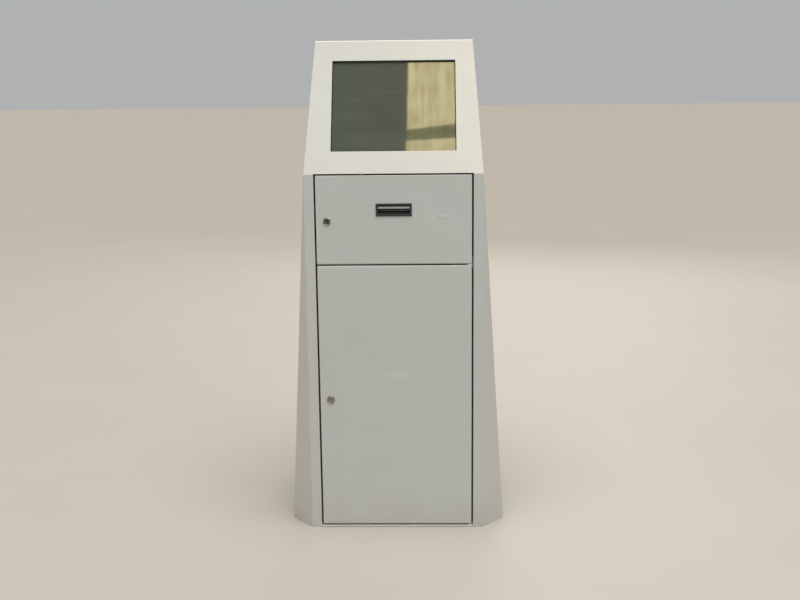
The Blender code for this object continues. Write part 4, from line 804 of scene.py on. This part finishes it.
def lock_core(side, material):
    """Key cylinder: dished face, tall keyway with its cover, square tail and the cam's nut."""
    matrix = standing(LOCKS[side], FORWARD)
    body = side + "_lock"
    radius = LOCK_BORE - 0.25
    profile = (
        (radius, -LOCK_BODY - GAP_MM), (radius, 0.9), (radius - 0.3, 1.3), (radius - 1.0, 1.3),
        (radius - 1.5, 0.9), (4.2, 0.8, "key"), (4.0, 0.4, "key"), (3.9, -9.0, "key"),
    )
    part = Part().lathe(profile, matrix, 64)
    shutter = Part().block(mm(-1.3, -3.6, -8.9), mm(1.3, 3.8, 0.7), 0.2, matrix)
    shutter.block(mm(-2.2, -0.6, 0.72), mm(2.0, 3.4, 1.05), 0.15, matrix)
    shutter.place(body + "_key_shutter", "black_plastic", body)
    tail = LOCK_TAIL
    part.block(mm(-tail, -tail, -28.4), mm(tail, tail, -LOCK_BODY - 2 * GAP_MM), 0.3, matrix)
    part.place(body + "_cylinder", "lock_chrome", body, material, [body + "_core"])
    profile = (
        (4.4, 0.0, "hexagon"), (5.2, 0.3, "hexagon"), (5.2, 2.0, "hexagon"),
        (4.5, 2.3), (4.3, 2.3), (4.3, 0.0),
    )
    behind_cam = off(LOCKS[side], 0, LOCK_BODY + 3.2, 0)
    nut = Part().lathe(profile, standing(behind_cam, REARWARD), 36, looped=True)
    nut.place(side + "_cam_nut", "zinc_steel", body)


def make_locks():
    """Both locks, and the small bright guard beside the upper keyway."""
    guard = Part().block(mm(-3.7, -2.6, 0.5), mm(-2.5, 1.6, 1.25), 0.3, standing(LOCKS["upper"], FORWARD))
    guard.place("upper_lock_key_guard", "lock_chrome", "upper_lock", MATERIALS["bright_bar"])
    for side, material in (("upper", KEY_STEEL_AND_PIN_SHADE), ("lower", KEY_BRASS)):
        lock_housing(side)
        lock_core(side, material)
        refined(side + "_lock_cam", 0.5, 0.35)
        refined(side + "_lock_nut", 0.6, 0.4)


# ---- screen
MONITOR_BACK = 65.0 * MM
BRACKET_SCREW_X = 0.196
COVER_SCREW_X = 0.150


def on_slope(across, up, depth):
    """World point from a place on the head: across, up the slope and in from its face."""
    sine = math.sin(HEAD_TILT)
    cosine = math.cos(HEAD_TILT)
    return Vector((across, FRONT_Y + up * sine + depth * cosine, FOLD_HEIGHT + up * cosine - depth * sine))


SLOPE_OUT = Vector((0, -math.cos(HEAD_TILT), math.sin(HEAD_TILT)))
SLOPE_TURN = Matrix(
    (
        (1, 0, 0, 0),
        (0, math.sin(HEAD_TILT), -math.cos(HEAD_TILT), FRONT_Y),
        (0, math.cos(HEAD_TILT), math.sin(HEAD_TILT), FOLD_HEIGHT),
        (0, 0, 0, 1),
    )
)


def screen_seal():
    """Rubber seal whose soft lip slopes from the sheet's edge down on to the glass."""
    section = ((6.0, 2.4), (0.4, 2.4), (-0.3, 2.9), (-2.2, 6.2), (-2.2, 7.0), (6.0, 7.0))
    rings = []
    for outward, depth in section:
        half = SCREEN_HALF + outward * MM
        low, high = SCREEN_UP[0] - outward * MM, SCREEN_UP[1] + outward * MM
        corners = ((-half, low), (half, low), (half, high), (-half, high))
        rings.append([on_slope(across, up, depth * MM) for across, up in corners])
    part = Part().rings(rings, looped=True)
    part.place("screen_seal", "black_rubber", replaces=["screen_gasket"])


def monitor_details():
    """Rear of the monitor: bracket and cover screws, board box and plug."""
    low, high = SCREEN_UP
    screws = Part()
    for across, up in product((-BRACKET_SCREW_X, BRACKET_SCREW_X), between(low + 0.02, high - 0.02, 3)):
        pan_screw(screws, on_slope(across, up, 4.4 * MM), -SLOPE_OUT, 2.6)
    for across, up in product((-COVER_SCREW_X, COVER_SCREW_X), (low + 0.015, high - 0.015)):
        pan_screw(screws, on_slope(across, up, MONITOR_BACK), -SLOPE_OUT, 2.2)
    screws.place("monitor_screws", "zinc_steel")
    box_top = (low + high) / 2 - 0.020
    box_low = off((-0.070, low + 0.020, -MONITOR_BACK), 0, 0, -14)
    box = Part().block(box_low, (0.060, box_top, -MONITOR_BACK - GAP), 1.5, SLOPE_TURN)
    box.place("monitor_board_box", "black_plastic")
    plug_at = Vector((0.100, 0.200, -MONITOR_BACK))
    plug = Part().block(off(plug_at, -12, -10, -26), off(plug_at, 12, 10, -4), 2.0, SLOPE_TURN)
    plug.block(off(plug_at, -15, -7, -4), off(plug_at, 15, 7, -GAP_MM), 1.0, SLOPE_TURN)
    plug.place("monitor_plug", "black_plastic")


# ---- rear
BACK_SCREW_INSET = 13.0 * MM
FAN_SCREW_X = 35.75
VENT_SLOT = 3.5 * MM
VENT_ROWS = 8
VENT_SPACING = 0.016


def rear_half_width(height):
    """Half the back panel's width at a height, from its own corners."""
    points = [vertex.co for vertex in NODES["back_panel"].data.vertices]
    low = max(point.x for point in points if point.z < MM)
    top = max(point.z for point in points)
    high = max(point.x for point in points if point.z > top - MM)
    return low + (high - low) * height / top


def back_screws():
    """Screws down both edges and along both ends of the back, and round the fan."""
    part = Part()
    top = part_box("back_panel")[1].z
    for height, sign in product(between(0.035, top - 0.045, 8), (-1, 1)):
        across = sign * (rear_half_width(height) - BACK_SCREW_INSET)
        pan_screw(part, (across, REAR_Y, height), REARWARD, 3.0, 0.4 + 7 * height)
    for height, share in product((0.013, top - 0.013), between(-0.55, 0.55, 3)):
        place = (share * rear_half_width(height), REAR_Y, height)
        pan_screw(part, place, REARWARD, 3.0, 1.1 + 3 * share)
    for across, up in product((-1, 1), (-1, 1)):
        place = off((FAN.x, REAR_Y, FAN.z), across * FAN_SCREW_X, 2 * GAP_MM, up * FAN_SCREW_X)
        pan_screw(part, place, REARWARD, 2.3, 0.5 * across + up)
    part.place("back_panel_screws", "zinc_steel")


def vent_hoods(name, left, right, first):
    """Pressed hoods over the back panel's vent slots, from the lowest slot's height up."""
    part = Part()
    for row in range(VENT_ROWS):
        low = first + row * VENT_SPACING
        rings = []
        for share in between(-1.0, 1.0, 13):
            swell = max(0.0, 1 - abs(share) ** 6) ** 0.5
            across = (left + right) / 2 + share * ((right - left) / 2 + 2 * MM)
            reach = (0.15 + 2.4 * swell) * MM
            ring = []
            for angle in between(0.0, math.pi / 2, 6):
                drop = (VENT_SLOT + 1.0 * MM) * (1 - math.cos(angle))
                place = (across, REAR_Y + reach * math.sin(angle), low + VENT_SLOT + 1.5 * MM - drop)
                ring.append(Vector(place))
            inner = []
            for point in reversed(ring):
                inner.append(point - Vector((0, min(0.7 * MM, point.y - REAR_Y), 0.5 * MM)))
            rings.append(ring + inner)
        part.rings(rings)
    part.place(name, "painted_steel")


def inlet_details():
    """Flange screws, terminal tabs and wiring of the mains inlet."""
    low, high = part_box("mains_inlet")
    x = (low.x + high.x) / 2
    screws = Part()
    for height in (low.z + 3.2 * MM, high.z - 3.2 * MM):
        pan_screw(screws, (x, high.y - 1.7 * MM, height), REARWARD, 1.7)
    screws.place("inlet_screws", "zinc_steel")
    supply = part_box("power_supply")[0]
    for index, (label, offset) in enumerate((("red", -9), ("blue", 0), ("earth", 9))):
        start = off((x, low.y, (low.z + high.z) / 2), offset, 0, -8)
        tab = Part().block(off(start, -2.4, -12, -1.6), off(start, 2.4, -GAP_MM, 1.6), 0.7)
        tab.place(f"inlet_tab_{label}", "white_plastic", material=COLOURED[label])
        terminal = supply.x + (30 + 12 * index) * MM
        route = (
            off(start, 0, -11.5, 0),
            off(start, 0, -26, -4),
            (start.x - 8 * MM, 0.140, 0.094 + 3 * MM * index),
            (supply.x + (5 * index - 4) * MM, 0.090, 0.071),
            (supply.x + (7 * index + 8) * MM, 0.000, 0.064 + MM * index),
            (supply.x + (10 * index + 22) * MM, -0.090, 0.064),
            (terminal, supply.y + 28 * MM, 0.062),
            (terminal, supply.y + 12 * MM, 0.050),
            (terminal, supply.y + 9 * MM, supply.z + 26 * MM),
        )
        wire = Part().wire(route, 1.5)
        wire.place(f"mains_wire_{label}", "black_rubber", material=COLOURED[label])


def supply_details():
    """Terminal strip with barriers and screws, cover screws and a ribbed lid."""
    low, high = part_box("power_supply")
    strip_top = low.z + (high.z - low.z) / 3
    last_barrier = high.x - 8 * MM
    pitch = 11 * MM
    barriers = Part()
    screws = Part()
    for index in range(8):
        across = low.x + 12 * MM + pitch * index
        if across > last_barrier:
            break
        foot = (across, low.y, strip_top)
        barriers.block(off(foot, -0.6, 1.5, GAP_MM), off(foot, 0.6, 16, 9), 0.3)
        if across + pitch < last_barrier:
            pan_screw(screws, off(foot, 5.5, 9, 1.2), UPWARD, 2.4, index)
    left, right = (low.x, low.y, strip_top), (high.x, low.y, strip_top)
    barriers.block(off(left, 9, 2, GAP_MM), off(right, -9, 15, 1.1), 0.2)
    barriers.place("supply_terminal_strip", "black_plastic")
    for across, along in product((low.x + 8 * MM, high.x - 8 * MM), (low.y + 30 * MM, high.y - 10 * MM)):
        pan_screw(screws, (across, along, high.z), UPWARD, 1.8, along * 9)
    screws.place("supply_screws", "zinc_steel")
    ribs = Part()
    for along, side in product(between(low.y + 50 * MM, high.y - 25 * MM, 9), (-20, 20)):
        middle = off(((low.x + high.x) / 2, along, high.z), side, 0, 0)
        ribs.block(off(middle, -15, -1.5, -0.1), off(middle, 15, 1.5, 0.7), 0.6)
    ribs.place("supply_lid_ribs", "zinc_steel")


# ---- doors from inside, in millimetres
# half of a stiffening channel's section: across from its middle, out from the door's skin
CHANNEL_SECTION = (
    (11.5, 10.5), (13.0, 2.0), (15.0, 0.0), (22.0, 0.0), (22.0, 1.2), (15.0, 1.2), (14.2, 2.6), (12.6, 11.7),
)
CHANNEL_ENDS = 22.0 * MM
CHANNEL_X = {"upper": (-0.110, 0.105), "lower": (-0.105, 0.120)}
CHANNEL_RIVETS = {"upper": 4, "lower": 9}
BUSH_PROFILE = ((3.3, 2.2), (6.0, 2.2), (6.0, 4.2), (4.8, 4.8), (4.6, 11), (3.3, 11))
STOP_PROFILE = ((5, 0.0), (5, 1.5), (4, 5), (2.8, 5.8), (0, 6.0))


def door_channels(side, low, high):
    """Two top-hat channels riveted to the inside of one door."""
    name = side + "_door"
    channels = Part()
    rivets = Part()
    outline = list(CHANNEL_SECTION) + [(-across, out) for across, out in reversed(CHANNEL_SECTION)]
    floor, ceiling = low.z + CHANNEL_ENDS, high.z - CHANNEL_ENDS
    for column in CHANNEL_X[side]:
        ends = [Vector((column, DOOR_SKIN, height)) for height in (floor, ceiling)]
        channels.rings([[off(end, across, out, 0) for across, out in outline] for end in ends])
        heights = between(floor + 15 * MM, ceiling - 15 * MM, CHANNEL_RIVETS[side])
        for height, across in product(heights, (-19, 19)):
            dome_rivet(rivets, off((column, DOOR_SKIN, height), across, 1.2, 0), REARWARD, 2.0)
    channels.place(name + "_channels", "zinc_steel", name)
    rivets.place(name + "_rivets", "zinc_steel", name)


def door_details(side):
    """Channels, hinge bushes, rubber stops and an earth stud on one door."""
    name = side + "_door"
    low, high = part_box(name)
    door_channels(side, low, high)
    bushes = Part()
    for height, outward in ((low.z, 1), (high.z, -1)):
        bushes.lathe(BUSH_PROFILE, standing((PIVOT.x, PIVOT.y, height), (0, 0, outward)), 20, looped=True)
    bushes.place(name + "_bushes", "grey_plastic", name)
    stops = Part()
    for height in (low.z + 12 * MM, high.z - 12 * MM):
        stops.lathe(STOP_PROFILE, standing((low.x + 14 * MM, DOOR_SKIN, height), REARWARD))
    stops.place(name + "_stops", "black_rubber", name)
    stud = Part()
    hexagon_nut(stud, (high.x - 40 * MM, DOOR_SKIN, low.z + 16 * MM), REARWARD, 4.0)
    stud.place(name + "_earth_stud", "pinion_brass", name)


def front_trim():
    """Small parts seen from the front: a pivot's rivet, black strips that paint the shade inside the corner
    relief slits, and a tab in the top gap.
    """
    rivet = Part()
    dome_rivet(rivet, (PIVOT.x, FRONT_Y, 2.0 * MM), FORWARD, 1.9)
    rivet.place("bottom_pivot_rivet", "white_plastic")
    # painted shade: thin black strips, barely proud of the front, stand in for the dark of the relief slits
    slits = Part()
    for across, height in ((237.5, 10), (-237.5, 6)):
        foot = off((0, FRONT_Y, 0), across, 0, 0)
        slits.block(off(foot, -0.45, -0.05, 0.6), off(foot, 0.45, 0.5, height), 0.1)
    slits.place("corner_relief_slit_shade", "black_rubber")
    top = Vector((0, FRONT_Y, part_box("upper_door")[1].z))
    tab = Part().block(off(top, -86.8, 0.1, GAP_MM), off(top, -83.6, 5, 4.2), 0.3)
    tab.place("door_frame_tab", "painted_steel")


def rail_seal_and_gap_shade():
    """Black foam strip along the rail, behind the gap between the doors: a seal, and painted shade that keeps
    the gap black.
    """
    low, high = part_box("middle_rail")
    gap = (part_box("lower_door")[1].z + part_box("upper_door")[0].z) / 2
    left, right = (low.x, low.y, gap), (PIVOT.x, low.y, gap)
    # painted shade: the strip's black darkens the gap between the doors
    seal = Part().block(off(left, 40, -3.6, -7), off(right, -18, -GAP_MM, 7), 0.8)
    seal.place("rail_seal_and_gap_shade", "black_rubber")


# ---- printer
PAPER_HALF = 39.5 * MM
PAPER_HALF_THICKNESS = 0.08 * MM


def paper_web():
    """Paper from the top of the roll over the platen to just inside the slot."""
    path = (
        (0, ROLL.y + 6 * MM, ROLL.z + 55.1 * MM),
        (0, ROLL.y - 22 * MM, ROLL.z + 55.3 * MM),
        (0, ROLL.y - 50 * MM, PLATEN.z + 5.9 * MM),
        (0, PLATEN.y + 16 * MM, PLATEN.z + 6.8 * MM),
        (0, PLATEN.y, PLATEN.z + 7.25 * MM),
        (0, PLATEN.y - 16 * MM, PLATEN.z + 7.1 * MM),
        (0, FRONT_Y + 27 * MM, PLATEN.z + 7.0 * MM),
    )
    side = Vector((PAPER_HALF, 0, 0))
    thin = Vector((0, 0, PAPER_HALF_THICKNESS))
    rings = []
    for point in smooth_route(path, 4):
        rings.append([point - side - thin, point + side - thin, point + side + thin, point - side + thin])
    Part().rings(rings).place("paper_web", "paper")


def printer_screws(low, high):
    """Side screws of the printer, and the motor's two on the left."""
    screws = Part()
    for sign, side in ((-1, low.x), (1, high.x)):
        front, rear = (side, low.y, low.z), (side, high.y, low.z)
        for place in (off(front, 0, 12, 12), off(rear, 0, -14, 14), off(rear, 0, -14, 80)):
            pan_screw(screws, place, (sign, 0, 0), 2.2, place.z * 30)
    motor_low, motor_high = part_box("feed_motor")
    motor = (motor_low + motor_high) / 2
    for angle in (math.pi / 4, math.pi * 5 / 4):
        place = off((low.x, motor.y, motor.z), 0, 8.5 * math.cos(angle), 8.5 * math.sin(angle))
        pan_screw(screws, place, LEFT, 1.5)
    screws.place("printer_screws", "zinc_steel")
    profile = ((10.6, GAP_MM), (10.6, 1.4), (9.4, 2.0), (4.0, 2.0), (3.6, 3.4), (0, 3.6))
    cap = Part().lathe(profile, standing((motor_high.x, motor.y, motor.z), RIGHT), 36)
    cap.place("feed_motor_cap", "black_plastic")


def printer_cover_details():
    """Ribs, front bar and release lever on the printer's lid."""
    low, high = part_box("printer_cover")
    ribs = Part()
    for across in between(low.x + 10 * MM, high.x - 10 * MM, 9):
        front, rear = (across, low.y, high.z), (across, high.y, high.z)
        ribs.block(off(front, -1.2, 12, -0.1), off(rear, 1.2, -12, 1.0), 0.5)
    left, right = (low.x, low.y, high.z), (high.x, low.y, high.z)
    ribs.block(off(left, 2, 0.2, -0.1), off(right, -2, 5, 1.6), 0.7)
    ribs.place("printer_cover_ribs", "grey_plastic", "printer_cover")
    lever = Part().block(off(right, -20, -4, -0.6), off(right, -4, 6, 3.2), 1.2)
    lever.place("printer_release_lever", "grey_plastic", "printer_cover", COLOURED["lever"])


# across, height, half width, half height and thickness of each chip
CHIPS = (
    (-18, 60, 9, 9, 2.0), (12, 66, 6, 4, 1.6), (14, 46, 7, 7, 1.8), (-22, 38, 5, 3, 1.4), (-4, 36, 4, 4, 6.0),
)


def printer_details():
    low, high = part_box("printer_chassis")
    printer_screws(low, high)
    printer_cover_details()
    back = Vector((0, high.y, low.z))
    board = Part().block(off(back, -38, 2.5, 26), off(back, 38, 4.1, 84), 0.2)
    board.place("printer_board", "grey_plastic", material=BOARD)
    chips = Part()
    for across, height, half_width, half_height, thick in CHIPS:
        centre = off(back, across, 4.2, height)
        far = off(centre, half_width, thick, half_height)
        chips.block(off(centre, -half_width, 0, -half_height), far, 0.3)
    chips.place("printer_board_chips", "black_plastic")
    posts = Part()
    for across, height in product((-34, 34), (30, 80)):
        pan_screw(posts, off(back, across, 4.1, height), REARWARD, 1.8)
    posts.place("printer_board_screws", "zinc_steel")
    nuts = Part()
    for across, along in product((-75, 75), (low.y + 20 * MM, high.y - 20 * MM)):
        hexagon_nut(nuts, off((0, along, low.z), across, 0, 0.2), UPWARD, 4.5)
    nuts.place("printer_shelf_nuts", "zinc_steel")


# ---- computer, in millimetres from its corners
# across, height, width and height of each socket at the rear
SOCKETS = ((72, 260, 26, 10), (72, 236, 26, 10), (105, 256, 14, 14), (128, 256, 14, 14), (105, 232, 14, 7))
EXPANSION_SLOTS = 5


def computer_front():
    """Grille, drive bays and ports on the front cover."""
    left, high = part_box("computer_front_cover")
    right = Vector((high.x, left.y, left.z))
    grille = Part()
    for height in between(30, 190, 21):
        grille.block(off(left, 22, -1.6, height - 1.6), off(right, -22, 0.3, height + 1.6), 0.7)
    grille.block(off(left, 18, -0.8, 222), off(right, -18, 0.2, 226), 0.3)
    for base in (232, 277):
        grille.block(off(left, 20, -2.2, base), off(right, -46, 0.2, base + 40), 1.2)
    grille.place("computer_grille", "grey_plastic")
    ports = Part()
    for base in (240, 262):
        ports.block(off(right, -36, -0.9, base), off(right, -22, 0.2, base + 6), 0.4)
    ports.place("computer_front_ports", "zinc_steel")


def computer_rear():
    """Screws, slot plates, sockets and the fan's grille at the rear, beads along the top."""
    low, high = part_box("computer_case")
    corner = Vector((low.x, high.y, low.z))
    screws = Part()
    heights = between(low.z + 20 * MM, high.z - 20 * MM, 3)
    for height, across in product(heights, (low.x + 8 * MM, high.x - 8 * MM)):
        pan_screw(screws, (across, high.y, height), REARWARD, 2.2, height * 20)
    plates = Part()
    for bracket in range(EXPANSION_SLOTS):
        base = 50 + 20 * bracket
        pan_screw(screws, off(corner, 20, 0.8, base + 6), REARWARD, 2.0, bracket)
        plates.block(off(corner, 14, -0.2, base), off(corner, 60, 0.7, base + 12), 0.3)
    screws.place("computer_screws", "zinc_steel")
    plates.place("computer_slot_plates", "zinc_steel")
    sockets = Part()
    for across, height, wide, tall in SOCKETS:
        foot = off(corner, across, -0.2, height)
        sockets.block(foot, off(foot, wide, 1.8, tall), 0.4)
    sockets.place("computer_rear_sockets", "black_plastic")
    fan = Part()
    centre = standing(off(corner, 50, 0, 205), REARWARD)
    for radius in (8, 16, 24, 32):
        ring = ((radius, 0.2), (radius + 2, 0.2), (radius + 2, 1.6), (radius, 1.6))
        fan.lathe(ring, centre, 40, looped=True)
    fan.place("computer_rear_grille", "zinc_steel")
    top = Part()
    for along in between(low.y + 60 * MM, high.y - 60 * MM, 8):
        left, right = (low.x, along, high.z), (high.x, along, high.z)
        top.block(off(left, 30, -3, -0.2), off(right, -30, 3, 0.9), 0.5)
    top.place("computer_top_beads", "zinc_steel")


PLUG_PROFILE = (
    (8.0, GAP_MM), (8.4, 1.0), (8.4, 9.0), (7.0, 12.0), (5.0, 13.0),
    (4.6, 17.0), (5.0, 17.4), (4.4, 18.0), (4.4, 19.6), (3.9, 20.4),
)


def cable_plugs():
    """Plugs where the two inside cables meet the computer."""
    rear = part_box("computer_case")[1].y
    for cable, across, height in (("monitor_cable", 0.130, 0.270), ("printer_cable", 0.075, 0.208)):
        plug = Part().lathe(PLUG_PROFILE, standing((across, rear, height), REARWARD), 28)
        plug.place(cable + "_plug", "black_plastic")


# ---- fan
def fan_details():
    """The rotor's hub cap, and the two wires down to the supply."""
    profile = ((15.4, 0.1), (15.4, 0.5), (14.4, 0.9), (11.0, 0.9), (10.6, 0.6), (0, 0.6))
    hub = Part().lathe(profile, standing((FAN.x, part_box("fan_rotor")[1].y, FAN.z), REARWARD), 40)
    hub.place("fan_hub_cap", "grey_plastic", "fan_rotor")
    wires = Part()
    low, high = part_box("fan_frame")
    for index, x in enumerate((FAN.x - 2 * MM, FAN.x + 2 * MM)):
        route = (
            (x, low.y - 0.5 * MM, FAN.z - 10 * MM),
            (x, low.y - 6 * MM, FAN.z - 22 * MM),
            (x + 6 * MM, low.y - 4 * MM, low.z - 20 * MM),
            (x + 10 * MM, REAR_Y - 10 * MM, low.z - 80 * MM),
            (x + 8 * MM, REAR_Y - 9 * MM, 0.250),
            (x - 4 * MM, REAR_Y - 12 * MM, 0.180),
            (x - 12 * MM, REAR_Y - 40 * MM, 0.110),
            (x - 22 * MM, 0.080, 0.085 + 2 * MM * index),
            (x - 30 * MM, 0.060, 0.0625 + MM * index),
        )
        wires.wire(route, 0.9, 6)
    wires.place("fan_wires", "black_rubber")


# ---- build
CABINET_PANELS = ("side_panel_left", "side_panel_right", "head_panel", "base_pan", "back_panel")
FOLDED_PARTS = (
    "middle_rail", "printer_shelf", "pivot_tab", "printer_chassis", "computer_case", "monitor_cover",
)
SMALL_PARTS = (
    "ticket_bezel", "tear_bar", "computer_front_cover", "printer_cover", "fan_frame", "fan_guard",
    "mains_inlet", "power_supply", "inlet_rocker", "computer_power_button", "cutter_unit",
)

make_camera()
make_world()
make_skylight()
make_lights()
make_floor()
dress_nodes()
for node in CABINET_PANELS:
    refined(node, 1.8, 0.35)
for node in ("upper_door", "lower_door"):
    refined(node, 4.6, 0.35, segments=4, crown=0.7)
for node in FOLDED_PARTS:
    refined(node, 0.8, 0.3)
for node in SMALL_PARTS:
    refined(node, 0.5, 0.25, segments=2)
make_locks()
screen_seal()
monitor_details()
back_screws()
vent_hoods("upper_vent_hoods", -0.090, 0.090, 1.150)
vent_hoods("lower_vent_hoods", -0.200, -0.060, 0.240)
inlet_details()
supply_details()
for side in ("upper", "lower"):
    door_details(side)
front_trim()
rail_seal_and_gap_shade()
paper_web()
printer_details()
computer_front()
computer_rear()
cable_plugs()
fan_details()
